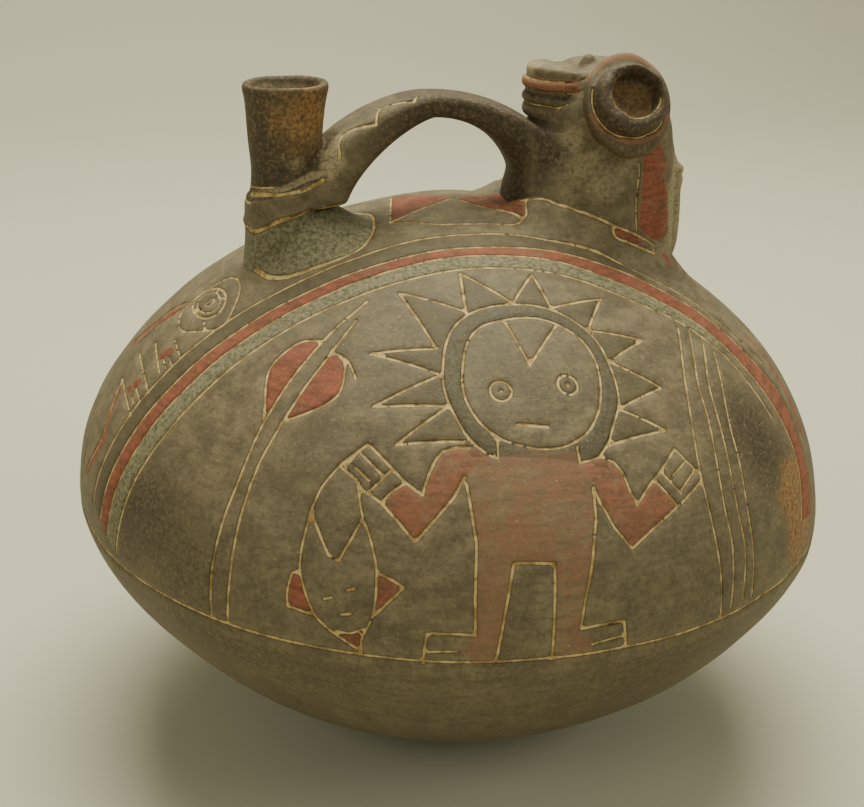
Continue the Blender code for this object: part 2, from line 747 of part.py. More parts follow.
def disc_form(name, profile, centre, facing, collection):
    """A turned boss, set at a centre and turned to face a direction."""
    disc = turned(name, profile, disc_sides, collection)
    turn = Vector((0.0, 0.0, 1.0)).rotation_difference(Vector(facing))
    disc.matrix_world = Matrix.Translation(centre) @ turn.to_matrix().to_4x4()
    return disc


def near_disc(collection):
    """The ringed disc on the side: a hollow, a thick ring and an oval flange, taller than it is wide."""
    turn = Vector((0.0, 0.0, 1.0)).rotation_difference(Vector(disc_facing))
    centre = Vector((
        head_centre_x + 0.047 * head_length, -0.443 * head_width, head_foot + 0.784 * head_height,
    ))
    rings = []
    for out, up in (
        (0.50, -1.40), (0.88, -0.45), (1.00, -0.08), (1.00, 0.16), (0.88, 0.34), (0.73, 0.40),
        (0.71, 0.58), (0.66, 0.90), (0.56, 1.06), (0.46, 1.02), (0.40, 0.80), (0.35, 0.22),
    ):
        radius = out * disc_radius
        sideways = radius - (1.0 - disc_flange_narrowing) * max(0.0, radius - disc_round_radius)
        ring = []
        for i in range(disc_sides):
            a = 2 * pi * i / disc_sides
            ring.append(centre + turn @ Vector((sideways * cos(a), radius * sin(a), up * disc_height)))
        rings.append(ring)
    return loft("near_disc", rings, collection)


def far_disc(collection):
    """The plainer disc on the hidden side: one ring round a shallow hollow."""
    radius = far_disc_radius
    height = 0.6 * disc_height
    profile = [
        (0.0, 0.4 * height), (0.5 * radius, 0.4 * height), (0.6 * radius, height), (0.8 * radius, height),
        (radius, 0.3 * height), (radius, -0.5 * height), (0.6 * radius, -2.0 * height), (0.0, -2.0 * height),
    ]
    centre = (head_centre_x - 0.021 * head_length, 0.40 * head_width, head_foot + 0.68 * head_height)
    return disc_form("far_disc", profile, centre, (0.20, 0.97, 0.05), collection)


def ridge_form(collection):
    """The raised strip down the back of the neck, with a double knob."""
    shares = [
        (0.02, 0.94, 0.8), (0.10, 0.95, 1.0), (0.36, 0.95, 1.0), (0.40, 0.95, 1.5), (0.44, 0.945, 1.1),
        (0.48, 0.935, 1.5), (0.53, 0.91, 1.0), (0.64, 0.86, 0.9), (0.76, 0.78, 0.7),
    ]
    rings = []
    for up, back, bulge in shares:
        centre = head_centre_x + back * head_length / 2
        half = ridge_width / 2
        height = head_foot + up * head_height
        rings.append(oval(centre, half * 0.62 * bulge, half * (0.7 + 0.3 * bulge), height, 12, 2.0))
    return loft("ridge", rings, collection)


def neck_hollow(collection):
    top = head_foot + neck_hollow_height
    bottom = dome_height(head_centre_x) - 4 * body_wall
    radius = neck_hollow_radius
    profile = [(0.0, top)]
    profile += [(share * radius, top - radius * (1 - sqrt(1 - share ** 2))) for share in neck_hollow_dome]
    profile += [(radius, top - radius), (radius, bottom), (0.0, bottom)]
    hollow = turned("neck_hollow", profile, 20, collection)
    hollow.location = (head_centre_x, 0.0, 0.0)
    return hollow


def main():
    for thing in list(bpy.data.objects):
        bpy.data.objects.remove(thing)
    parts = make_collection("bridge_and_spout_bottle")
    tools = make_collection("joined_and_cut_forms")
    bottle = add_object("bottle", outer_body(tools), parts)
    forms = (spout_form, collar_form, strap_form, neck_form, muzzle_form, near_disc, far_disc, ridge_form)
    for form in forms:
        join(bottle, form(tools), "UNION")
    for hollow in (cavity, spout_bore, neck_hollow):
        join(bottle, hollow(tools), "DIFFERENCE")
    bottle.data.materials.append(make_material(*CLAY))
    bottle.data.shade_smooth()
    bottle.data.set_sharp_from_angle(angle=radians(30))


main()
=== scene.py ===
"""A bridge and spout bottle of burnished, incised and painted earthenware, on a pale table."""
import math

import bpy
import numpy as np
from mathutils import Matrix, Vector
from mathutils.bvhtree import BVHTree


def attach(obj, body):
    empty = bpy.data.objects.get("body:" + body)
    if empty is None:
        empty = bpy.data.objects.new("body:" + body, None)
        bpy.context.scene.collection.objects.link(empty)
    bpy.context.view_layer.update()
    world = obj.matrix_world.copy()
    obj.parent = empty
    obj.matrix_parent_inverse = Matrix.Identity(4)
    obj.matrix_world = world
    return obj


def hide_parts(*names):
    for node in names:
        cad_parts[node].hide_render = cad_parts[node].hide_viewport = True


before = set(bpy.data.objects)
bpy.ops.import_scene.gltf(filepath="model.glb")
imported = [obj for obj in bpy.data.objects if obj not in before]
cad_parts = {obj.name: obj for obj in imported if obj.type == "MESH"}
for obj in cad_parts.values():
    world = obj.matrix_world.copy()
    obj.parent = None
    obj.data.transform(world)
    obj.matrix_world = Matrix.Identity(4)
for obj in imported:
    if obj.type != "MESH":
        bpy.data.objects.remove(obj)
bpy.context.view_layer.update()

MM = 0.001

# Camera
# It looks down on the bottle from the front and a little from the spout's side, 43 cm away, turned
# and tipped by a few degrees as a hand-held camera is. Lengths below are in mm, angles in radians.
CAMERA_YAW = math.radians(-15.0)
CAMERA_RISE = 0.40565
CAMERA_DISTANCE = 430.0
LOOKS_AT = np.array([0.0, 0.0, 77.5])
CAMERA_PAN = -0.01113
CAMERA_TILT = 0.02240
CAMERA_ROLL = 0.03704
FOCAL_PIXELS = 1558.95
PHOTO_WIDTH = 864
SENSOR = 36.0


def unit(vectors):
    """Each vector divided by its length."""
    vectors = np.asarray(vectors, float)
    return vectors / np.maximum(np.linalg.norm(vectors, axis=-1, keepdims=True), 1e-12)


def camera_matrix():
    """The camera's place on a sphere round the bottle, turned by pan and tilt, then rolled."""
    back = np.array([
        math.sin(CAMERA_YAW) * math.cos(CAMERA_RISE),
        -math.cos(CAMERA_YAW) * math.cos(CAMERA_RISE),
        math.sin(CAMERA_RISE),
    ])
    place = LOOKS_AT + CAMERA_DISTANCE * back
    right = np.array([math.cos(CAMERA_YAW), math.sin(CAMERA_YAW), 0.0])
    ahead = unit(-back + CAMERA_PAN * right + CAMERA_TILT * np.cross(right, -back))
    level = unit(right - np.dot(right, ahead) * ahead)
    up = np.cross(level, ahead)
    cosine, sine = math.cos(CAMERA_ROLL), math.sin(CAMERA_ROLL)
    across = cosine * level + sine * up
    upright = -sine * level + cosine * up
    columns = np.column_stack([across, upright, -ahead, place * MM])
    return Matrix([list(row) for row in columns] + [[0.0, 0.0, 0.0, 1.0]])


camera_data = bpy.data.cameras.new("camera")
camera_data.sensor_width = SENSOR
camera_data.lens = FOCAL_PIXELS * SENSOR / PHOTO_WIDTH
camera_data.clip_start = 0.02
camera = bpy.data.objects.new("camera", camera_data)
camera.matrix_world = camera_matrix()
bpy.context.scene.collection.objects.link(camera)
bpy.context.scene.camera = camera


# Table and backdrop
# One sheet of pale card: it lies flat under the bottle and sweeps up behind it in a wide curve.
# Its sizes are in metres.
SHEET_FRONT = -1.3
SHEET_BEND = 0.75
SHEET_RADIUS = 0.55
SHEET_TOP = 2.0
SHEET_HALF_WIDTH = 2.2
SHEET_COLOUR = (0.58, 0.57, 0.46, 1.0)


def link_mesh(name, points, faces):
    """A mesh object from an array of points in metres and rows of three or four corners."""
    mesh = bpy.data.meshes.new(name)
    faces = np.asarray(faces, np.int32)
    mesh.vertices.add(len(points))
    mesh.vertices.foreach_set("co", np.asarray(points, np.float32).ravel())
    mesh.loops.add(faces.size)
    mesh.loops.foreach_set("vertex_index", faces.ravel())
    mesh.polygons.add(len(faces))
    mesh.polygons.foreach_set("loop_start", np.arange(0, faces.size, faces.shape[1], dtype=np.int32))
    mesh.polygons.foreach_set("use_smooth", np.ones(len(faces), bool))
    mesh.update(calc_edges=True)
    mesh.validate()
    piece = bpy.data.objects.new(name, mesh)
    bpy.context.scene.collection.objects.link(piece)
    return piece


def sheet_grid():
    """Profile in y and z (flat, quarter circle, upright) carried along x."""
    angle = np.linspace(0.0, math.pi / 2, 24)
    bend_y = SHEET_BEND + SHEET_RADIUS * np.sin(angle)
    bend_z = SHEET_RADIUS * (1.0 - np.cos(angle))
    y = np.concatenate([[SHEET_FRONT], bend_y, [SHEET_BEND + SHEET_RADIUS]])
    z = np.concatenate([[0.0], bend_z, [SHEET_TOP]])
    x = np.array([-SHEET_HALF_WIDTH, SHEET_HALF_WIDTH])
    points = np.stack([np.repeat(x, len(y)), np.tile(y, 2), np.tile(z, 2)], 1)
    row = np.arange(len(y) - 1)
    faces = np.stack([row, row + len(y), row + len(y) + 1, row + 1], 1)
    return points, faces


sheet = link_mesh("table_sheet", *sheet_grid())
sheet_card = bpy.data.materials.new("pale_card")
sheet_card.use_nodes = True
card_shader = sheet_card.node_tree.nodes["Principled BSDF"]
card_shader.inputs["Base Color"].default_value = SHEET_COLOUR
card_shader.inputs["Roughness"].default_value = 0.85
card_shader.inputs["Specular IOR Level"].default_value = 0.2
sheet.data.materials.append(sheet_card)


# Studio light
# A wide soft box hangs above and a little behind, a weaker one stands at each side of the camera.
# Each light's place in metres, width and power in watts.
SKY_COLOUR = (1.0, 0.98, 0.76, 1.0)
SKY_STRENGTH = 0.26
LIGHT_COLOUR = (1.0, 0.98, 0.78)
LIGHT_TARGET = (0.0, 0.0, 0.08)
LIGHTS = (
    ("overhead", (0.05, 0.30, 1.00), 0.8, 18.0),
    ("left_front", (-0.95, -0.70, 0.75), 0.5, 3.0),
    ("right_front", (0.85, -0.75, 0.80), 0.5, 3.2),
)


def aim(place, target):
    """A matrix that stands at place and looks along its own minus z at target."""
    ahead = unit(np.subtract(target, place))
    level = unit(np.cross(ahead, (0.0, 0.0, 1.0)))
    up = np.cross(level, ahead)
    columns = np.column_stack([level, up, -ahead, place])
    return Matrix([list(row) for row in columns] + [[0.0, 0.0, 0.0, 1.0]])


for light_name, place, width, power in LIGHTS:
    light_data = bpy.data.lights.new(light_name, "AREA")
    light_data.shape = "RECTANGLE"
    light_data.size, light_data.size_y = width, width
    light_data.energy = power
    light_data.color = LIGHT_COLOUR
    light = bpy.data.objects.new(light_name, light_data)
    light.matrix_world = aim(place, LIGHT_TARGET)
    bpy.context.scene.collection.objects.link(light)

world = bpy.data.worlds.new("studio")
bpy.context.scene.world = world
world.use_nodes = True
sky = world.node_tree.nodes["Background"]
sky.inputs["Color"].default_value = SKY_COLOUR
sky.inputs["Strength"].default_value = SKY_STRENGTH


# Body
# A thin-walled round vessel of coarse olive-brown clay, a dome on a bowl that meet in a shoulder edge,
# burnished by hand. Before firing, a masked figure between bands was incised into the dome with a point.
# Sizes are in mm. The columns are close together between two bearings, on the incised side.
BODY_RADIUS = 100.0
SHOULDER_HEIGHT = 66.5
DOME_RISE = 78.9
DOME_OUT, DOME_UP = 2 / 1.575, 2 / 2.094
BOWL_DEPTH = 69.1
BOWL_OUT, BOWL_DOWN = 2 / 1.633, 2 / 1.483
WALL = 5.5
FINE_COLUMNS = 448
PLAIN_COLUMNS = 144
FINE_START, FINE_END = math.radians(-200.0), math.radians(8.0)
ROW_STEP = 0.8
HALVINGS = (70.0, 35.0, 17.0)
BOWL_NEAR_ROWS = (0.5, 1.1, 1.8, 2.6, 3.5, 4.6)
BOWL_FAR_START, BOWL_STEP = 6.4, 3.0
INNER_ROWS, INNER_COLUMN_STEP = 30, 8
SNAP_NEAR, SNAP_MOVE = 0.6, 0.57
SHOULDER_GROOVE_WIDTH, SHOULDER_GROOVE_DEPTH = 1.3, 0.45
SHOULDER_LINE_RISE, SHOULDER_HALF_WIDTH, SHOULDER_FILL = 0.8, 0.30, 0.60
GROOVE_HALF_WIDTH, GROOVE_DEPTH = 0.85, 0.35
FULL_DEPTH_HALF_WIDTH = 0.30
SPOUT_X, SPOUT_Y = -45.0, -1.4
SPOUT_FOOT_RADIUS = 10.3
SKIRT_X, SKIRT_Y, SKIRT_RADIUS, SKIRT_HEIGHT = -39.8, -2.5, 17.0, 9.5
HEAD_X, HEAD_LENGTH, HEAD_WIDTH = 35.25, 47.5, 37.0
NECK_SKIRT_WIDTH, NECK_SKIRT_HEIGHT = 8.0, 7.5
SKIRT_HOLLOW = 1.45
HOLE_RADIUS, HOLE_MIDDLE, HOLE_HEIGHT = 5.9, 130.0, 50.0


def arc_table(radius, height):
    """Length along a profile from its first point to each of its points."""
    return np.concatenate([[0.0], np.cumsum(np.hypot(np.diff(radius), np.diff(height)))])


lean = np.linspace(0.0, math.pi / 2, 1201)
dome_radius = BODY_RADIUS * np.sin(lean) ** DOME_OUT
dome_height = SHOULDER_HEIGHT + DOME_RISE * np.abs(np.cos(lean)) ** DOME_UP
dome_height[-1] = SHOULDER_HEIGHT
dome_arc = arc_table(dome_radius, dome_height)
DOME_SPAN = dome_arc[-1]
bowl_radius = BODY_RADIUS * np.abs(np.cos(lean)) ** BOWL_OUT
bowl_height = np.maximum(SHOULDER_HEIGHT - BOWL_DEPTH * np.sin(lean) ** BOWL_DOWN, 0.0)
bowl_radius[-1] = 0.0
bowl_arc = arc_table(bowl_radius, bowl_height)


def with_neighbours(points, closed=False):
    """The points and one more at each end: mirrored outward, or carried on round where the line closes."""
    p = np.asarray(points, float)
    if closed:
        return np.concatenate([p[-1:], p, p[:2]])
    return np.concatenate([2 * p[:1] - p[1:2], p, 2 * p[-1:] - p[-2:-1]])


def cubic(a, b, c, d, share):
    """A Catmull-Rom run from b to c, led by its neighbours a and d."""
    return 0.5 * (2 * b + (c - a) * share + (2 * a - 5 * b + 4 * c - d) * share ** 2
                  + (3 * b - a - 3 * c + d) * share ** 3)


def spline(points, step=1.2, closed=False):
    """A smooth line through drawn points, in steps of about a length."""
    p = with_neighbours(points, closed)
    parts = []
    for a, b, c, d in zip(p[:-3], p[1:-2], p[2:-1], p[3:]):
        count = max(2, int(np.linalg.norm(c - b) / step) + 1)
        parts.append(cubic(a, b, c, d, np.linspace(0.0, 1.0, count, endpoint=False)[:, None]))
    return np.concatenate(parts + [p[-2:-1]])


def straight(points, step=2.0):
    """The drawn points joined by straight runs."""
    p = np.asarray(points, float)
    parts = []
    for a, b in zip(p[:-1], p[1:]):
        count = max(1, int(np.linalg.norm(b - a) / step) + 1)
        parts.append(a + (b - a) * np.linspace(0.0, 1.0, count, endpoint=False)[:, None])
    return np.concatenate(parts + [p[-1:]])


def oval(centre, across, along, count=40, turn=0.0):
    """A closed ellipse about a centre."""
    angle = np.linspace(0.0, 2 * math.pi, count + 1)
    x, y = across * np.cos(angle), along * np.sin(angle)
    return np.stack([centre[0] + x * math.cos(turn) - y * math.sin(turn),
                     centre[1] + x * math.sin(turn) + y * math.cos(turn)], 1)


def enclosed(points, loop):
    """Whether each flat point lies inside a closed outline, by even and odd crossings."""
    held = np.zeros(len(points), bool)
    picked = np.flatnonzero(np.all((points > loop.min(0)) & (points < loop.max(0)), axis=1))
    x, y = points[picked].T
    crossings = np.zeros(len(picked), int)
    for (x0, y0), (x1, y1) in zip(loop[:-1], loop[1:]):
        if y0 != y1:
            spans = (y0 > y) != (y1 > y)
            crossings += spans & (x < x0 + (y - y0) * (x1 - x0) / (y1 - y0))
    held[picked] = crossings % 2 == 1
    return held


def signed(distance, inside):
    """A distance made negative inside."""
    return np.where(inside, -distance, distance)


REACH = 4.0  # mm beyond which a line or an edge is no longer felt
STRETCH = 10  # straight runs of a line that are searched together


def near_line(points, line, margin=REACH, turned_to=lambda offset, picked: offset):
    """Distance to a line, reach where farther, and the step to its nearest point: the foot of the
    perpendicular on each straight run, kept between the run's ends. Only points within a margin of a
    stretch of runs are measured against it, in the axes that their offsets are turned to."""
    best, step = np.full(len(points), REACH), np.zeros_like(points)
    for first in range(0, len(line) - 1, STRETCH):
        run = line[first:first + STRETCH + 1]
        held = (points > run.min(0) - margin) & (points < run.max(0) + margin)
        picked = np.flatnonzero(held.all(axis=1))
        if not len(picked):
            continue
        offset = turned_to(run[None] - points[picked][:, None], picked)
        along = np.diff(offset, axis=1)
        share = -(offset[:, :-1] * along).sum(-1) / np.maximum((along ** 2).sum(-1), 1e-9)
        away = offset[:, :-1] + np.clip(share, 0.0, 1.0)[..., None] * along
        distance = np.linalg.norm(away, axis=-1)
        pick = (np.arange(len(picked)), distance.argmin(1))
        better = distance[pick] < best[picked]
        best[picked[better]] = distance[pick][better]
        step[picked[better]] = away[pick][better]
    return best, step


class DomeDrawing:
    """Distances from the dome's points to drawn lines. The drawing is laid out in mm from the dome's
    top: a point at arc length s and bearing w is (s cos w, s sin w). Round the dome, true lengths
    are shorter than drawn ones by radius / s."""

    SPREAD = 1.45  # how far a drawn length may outgrow the true one

    def __init__(self, points):
        self.points = points
        arc = np.hypot(points[:, 0], points[:, 1])
        self.out = points / np.maximum(arc, 1e-6)[:, None]
        self.shrink = np.interp(arc, dome_arc, dome_radius) / np.maximum(arc, 1e-6)
        self.shrink[arc < 1.0] = 1.0

    def near(self, line):
        """True distance to the line, reach where farther, and the drawn step to its nearest point."""
        def outward_and_round(offset, picked):
            """Offsets as parts outward from the top and, in true length, round it."""
            (x, y), (out_x, out_y) = np.moveaxis(offset, -1, 0), self.out[picked].T[..., None]
            around = (y * out_x - x * out_y) * self.shrink[picked][:, None]
            return np.stack([x * out_x + y * out_y, around], -1)

        best, away = near_line(self.points, line, REACH * self.SPREAD, outward_and_round)
        along, across = away[:, :1], away[:, 1:] / self.shrink[:, None]
        return best, along * self.out + across * self.out[:, ::-1] * (-1.0, 1.0)

    def area(self, outline):
        """Signed true distance to a closed outline, negative inside it."""
        loop = outline if np.allclose(outline[0], outline[-1]) else np.concatenate([outline, outline[:1]])
        return signed(self.near(loop)[0], enclosed(self.points, loop))


# The drawing: the bands across the dome, the figure with its rayed head, arms and tunic, the head that
# hangs from its hand, the stalk and leaves, the falling lines, the creature, and the lines by the neck.
FRAME_INNER = ((-126, -50.2), (-100, -45.4), (-75, -41.5), (-50, -38.4), (-30, -36.7), (-12, -36),
               (10, -37.2), (20, -39), (30, -41.6), (40, -44.2), (49, -45.6), (57, -48.2), (64, -52),
               (71, -57.6), (78.4, -63.2))
RED_LOWER = ((-126, -42.2), (-100, -38.3), (-75, -35.2), (-50, -32.8), (-30, -31.4), (-12, -30.9),
             (10, -31.8), (22, -33.6), (33, -36.6), (45, -39.3), (56, -42.3), (65, -47.2), (73, -52.2),
             (81, -57.2), (87, -62.8), (91, -67.5), (94.5, -75), (96, -84))
RED_UPPER = ((-126, -35.4), (-100, -32.3), (-75, -29.8), (-50, -28.1), (-30, -27.3), (-12, -27.3),
             (10, -27.8), (24, -28.6), (36, -30.6), (48, -33), (59, -35.6), (68, -39.6), (77, -43.8),
             (86, -47.2), (93, -51.5), (98, -57.5), (102.5, -66), (105, -76))
FRAME_OUTER = ((-126, -26.8), (-100, -24.7), (-75, -23), (-50, -21.8), (-30, -21.2), (-12, -21.1),
               (7.8, -21.5), (18, -22.5), (25, -23.6), (33, -25.2), (39.4, -27.2), (46.3, -28.8),
               (54, -29.8), (62, -31.5), (68, -34.5), (75, -37.5), (82, -40))
frame_inner, red_lower, red_upper, frame_outer = [
    spline(line) for line in (FRAME_INNER, RED_LOWER, RED_UPPER, FRAME_OUTER)]
HEAD_STAR = ((-19, -86.2), (-35.3, -82.7), (-20.7, -76.8), (-38.7, -71.6), (-20.6, -68.2), (-36, -56.9),
             (-19.9, -60.5), (-24.8, -39.9), (-10.3, -50.9), (-8.6, -37.5), (1.9, -49.7), (9.6, -39),
             (11.3, -51.3), (26.3, -45.7), (19.4, -57.8), (35.2, -57.5), (23.1, -66.8), (36.8, -71.7),
             (22.6, -79.9), (35.6, -83.6), (17.5, -89.6))
FACE_OUTER = ((-11.4, -91.3), (-13.4, -90.4), (-16, -87.8), (-18.1, -84.7), (-19.4, -80.7), (-20.4, -76.6),
              (-20.7, -71.2), (-19.6, -65.9), (-17.7, -60.4), (-14.8, -55.6), (-10.2, -52), (-5.4, -50.5),
              (-0.9, -50.1), (4.8, -50.3), (9.7, -51.3), (14.4, -53.5), (18.2, -56.8), (21.4, -61.5),
              (22.9, -67.6), (23.5, -73.6), (23, -78.4), (21.2, -82.5), (17.9, -88.9), (14.8, -92.4))
FACE_INNER = ((-12.4, -84.5), (-14.6, -81.3), (-16.1, -76.9), (-16.2, -72.2), (-15.1, -67.5),
              (-13.4, -62.8), (-10.9, -58.7), (-7.4, -56.1), (-2.1, -55), (3.8, -54.5), (8.7, -55.3),
              (13.3, -57.6), (17.1, -61.2), (19.1, -66.3), (19.3, -72), (18.2, -77.5), (16.6, -81.5),
              (13.3, -86.1), (8.8, -88.9), (4.6, -90.2), (-0.6, -90.2), (-4.9, -89.1), (-9, -87.4))
face_outer, face_inner = spline(FACE_OUTER), spline(FACE_INNER, closed=True)
LEFT_ARM = ((-20.5, -94.1), (-23.9, -97.9), (-29.9, -101.9), (-36, -105.2), (-42.1, -94.3), (-46.1, -89.6),
            (-46.8, -87.2), (-49.1, -83.5), (-44.8, -80.9), (-41.8, -80.1), (-37.5, -87.8), (-35.2, -91.8),
            (-31.7, -95.8), (-30.7, -94), (-28.8, -91.3), (-26.6, -88.6), (-24.4, -87.3), (-20.9, -87.2),
            (-17.9, -87.9))
LEFT_SLEEVE = ((-12, -91), *LEFT_ARM[:5], (-39.4, -92.9), *LEFT_ARM[11:])
RIGHT_ARM = ((9.3, -93.9), (12, -93.3), (15.5, -92.3), (18.8, -93.4), (20.9, -95.9), (22.2, -99.8),
             (24, -103.1), (28.2, -98.1), (32.1, -94.3), (37.3, -87.9), (40.5, -90.1), (44.9, -92.5),
             (45.4, -93.9), (39.1, -100), (31.5, -105.8), (22, -113), (17, -108.5), (13.3, -102.5),
             (12.1, -99.6))
RIGHT_SLEEVE = (*RIGHT_ARM[:8], (30.3, -97), (36.5, -101.6), *RIGHT_ARM[14:])
LEFT_SIDE = ((-20.5, -96), (-20.6, -109.2), (-22.8, -119.6), (-24.3, -129.2), (-37.9, -125.7),
             (-41.3, -133.2))
RIGHT_SIDE = ((11.9, -99.5), (12, -106.3), (10.6, -113.5), (9.7, -118.6), (8.1, -125), (7.1, -131.4),
              (21, -129.5), (22.9, -135.5))
BETWEEN_LEGS = ((-19, -136.8), (-11.6, -114.8), (-0.5, -116.1), (-1.6, -139.5))
HUNG_HEAD_LEFT = ((-44.8, -80.9), (-49, -82), (-55.2, -84.9), (-57.9, -87.1), (-59.9, -88.9),
                  (-64.1, -94.3), (-65.9, -96.8), (-67.5, -100), (-68.1, -104.6), (-68.1, -108.3),
                  (-67.2, -112.5), (-63.5, -118.1), (-57.9, -124.3))
HUNG_HEAD_RIGHT = ((-46.8, -88.5), (-47.5, -95.4), (-47, -100.8), (-47.2, -106.9), (-47.7, -109.1),
                   (-49.2, -113.2), (-50.8, -116.2), (-52.8, -118.6), (-56.7, -121.5), (-57.9, -124.3))
STALK_LEFT = ((-32.7, -39.9), (-46.4, -48.4), (-64.2, -61.7), (-74.8, -71.2), (-84.3, -78.9),
              (-93.1, -86.5), (-99.8, -93.9))
STALK_RIGHT = ((-36.5, -45), (-44.1, -52.1), (-58.7, -63.7), (-70.4, -72.6), (-77.8, -79.9),
               (-86.6, -89.4), (-95.9, -99.3))
UPPER_LEAF = ((-46.2, -47.5), (-51.7, -45.1), (-59.1, -47.8), (-61.9, -52.3), (-63.8, -58.4),
              (-65, -61.1))
LOWER_LEAF = ((-44.8, -51.7), (-42.4, -56), (-43, -60), (-45.4, -64.8), (-49.2, -66.2), (-54.5, -66.1),
              (-61.3, -65))
FALLING_LINES = (
    ((48.2, -48.5), (45.2, -66.9), (44.5, -81.3), (45.3, -93.2), (49.2, -104.6), (53.3, -112.9),
     (58.8, -123.7)),
    ((51.9, -48), (49.5, -66.1), (50.4, -76.5), (51.9, -91), (53.9, -99.6), (57.7, -106.8), (62.8, -121)),
    ((56.1, -48.3), (53.4, -64.6), (54.1, -75.2), (56.6, -88.6), (59.1, -97.6), (63.8, -106.3),
     (67.8, -117.3)),
    ((58.8, -52), (58.2, -73.7), (60.5, -84.6), (64.1, -97.6), (67.7, -105), (72.6, -115.4)),
)
SPOUT_OVAL = ((-57.6, -4), (-54.6, -12.7), (-49.7, -17.4), (-43.5, -19.1), (-36.5, -19.1), (-29.3, -17.4),
              (-25.2, -11.9), (-23.4, -5.1), (-23, 3), (-27, 10.5), (-35, 14.5), (-44, 15), (-53, 10.5),
              (-57.5, 3))
spout_oval = spline(SPOUT_OVAL, closed=True)
NECK_FOOT = ((14, -10.2), (16.6, -12.3), (19.7, -14.1), (22.5, -16), (25, -16.9), (27.2, -17.8),
             (30.7, -18.7), (34, -19.3), (37.3, -19.7))
FOOT_UPPER = ((37.3, -19.7), (40.2, -19.6), (43, -19.3), (46.1, -18.8), (49.2, -18.2), (51.4, -17.8))
FOOT_LOWER = ((37.2, -21.3), (39.2, -21.5), (41.5, -21.3), (45.6, -20.8), (50.8, -19.6))
LEFT_EYE, RIGHT_EYE = (-7.2, -75.0), (10.1, -74.3)
CREATURE_EYE = (-69.7, -7.4)
creature_ring = oval((-70.0, -6.6), 4.6, 9.6, turn=0.12)
creature_inner_ring = oval((-70.0, -6.6), 3.1, 6.8, turn=0.12)

LEFT_EAR = ((-67.8, -100.5), (-69.8, -99.5), (-72.9, -102.4), (-74.7, -105.6), (-68.2, -111))
CREATURE_BACK = ((-76.2, 5.3), (-80.8, 9.6), (-86.9, 13.4), (-94.6, 19.1))
CREATURE_TAIL = ((-101.3, -4.8), (-112.1, -16.4), (-125.3, -12.1))
# each table row: half width in mm, how much of the pale earth is left in the line, and its points
STRAIGHT_LINES = (
    (0.34, 1.0, HEAD_STAR),
    (0.27, 0.8, ((-11.4, -91.3), (-10.8, -87.2), (-12.4, -84.5))),
    (0.34, 1.0, ((-1.8, -55.1), (1.6, -68.9), (11.2, -57))),
    (0.41, 1.0, ((-5.1, -83.9), (2.7, -85.1))),
    (0.32, 0.9, ((9.3, -93.9), (9.3, -89.8))),
    (0.36, 0.8, LEFT_ARM),
    (0.32, 0.8, RIGHT_ARM),
    (0.34, 1.0, ((-44.8, -91), (-38.2, -88.2))),
    (0.32, 0.8, ((-42.1, -94.3), (-39.4, -92.9), (-35.6, -92))),
    (0.32, 1.0, ((-44, -81.8), (-40.4, -88.1))),
    (0.30, 1.0, ((-46.5, -83.7), (-43.1, -89.5))),
    (0.30, 1.0, ((30.3, -97), (36.5, -101.6))),
    (0.30, 1.0, ((32.1, -94.4), (38.3, -98.9))),
    (0.27, 1.0, ((39.8, -90.9), (35.1, -95.4))),
    (0.27, 1.0, ((42.4, -92.8), (38, -97.9))),
    (0.34, 0.8, LEFT_SIDE),
    (0.34, 0.8, RIGHT_SIDE),
    (0.34, 0.8, BETWEEN_LEGS),
    (0.27, 0.8, ((-38.6, -130), (-29.6, -132))),
    (0.27, 0.8, ((11.2, -135.2), (20.7, -133.3))),
    (0.34, 0.85, ((-59, -88.1), (-59.9, -90.8), (-59.3, -96.5), (-58.8, -100.2), (-56.7, -102.6),
        (-52, -99.4), (-47.5, -95.9))),
    (0.34, 1.0, ((-63.8, -108.8), (-61.3, -109.5))),
    (0.34, 1.0, ((-56.6, -109.5), (-54.2, -110))),
    (0.34, 1.0, ((-60.4, -114), (-57.3, -115))),
    (0.30, 0.8, LEFT_EAR),
    (0.32, 0.85, ((-47.3, -108.6), (-41.3, -113.9), (-43.4, -114.8), (-50.8, -117.4))),
    (0.32, 1.0, ((-87.4, -4.7), (-88.5, -21.5))),
    (0.32, 1.0, ((-81.7, -13.3), (-81.6, -23.2))),
    (0.25, 1.0, ((-86.3, -16.4), (-86.4, -21.9))),
    (0.25, 1.0, ((-84.5, -18.5), (-84.6, -23.7))),
    (0.32, 1.0, ((-93, -0.3), (-93.2, -24.8))),
    (0.32, 1.0, ((-100.5, -2.8), (-100.4, -25.4))),
    (0.25, 1.0, ((-98.2, -17.1), (-98.6, -21.9))),
    (0.25, 1.0, ((-96.6, -16.9), (-96.4, -23.9))),
    (0.32, 1.0, ((37.3, -19.7), (37.2, -21.3))),
    (0.30, 0.85, ((-13.4, 19.5), (-19.8, -8.6), (-8.2, -15.1), (-0.7, -16.1), (12.3, -16.3),
        (14.6, -15.2), (16.4, -6.8), (19.4, 5.2))),
    (0.30, 0.85, ((-19.8, -8.6), (-1.1, 0.9))),
    (0.30, 0.7, ((13.6, -15.6), (-1.1, 0.9))),
)
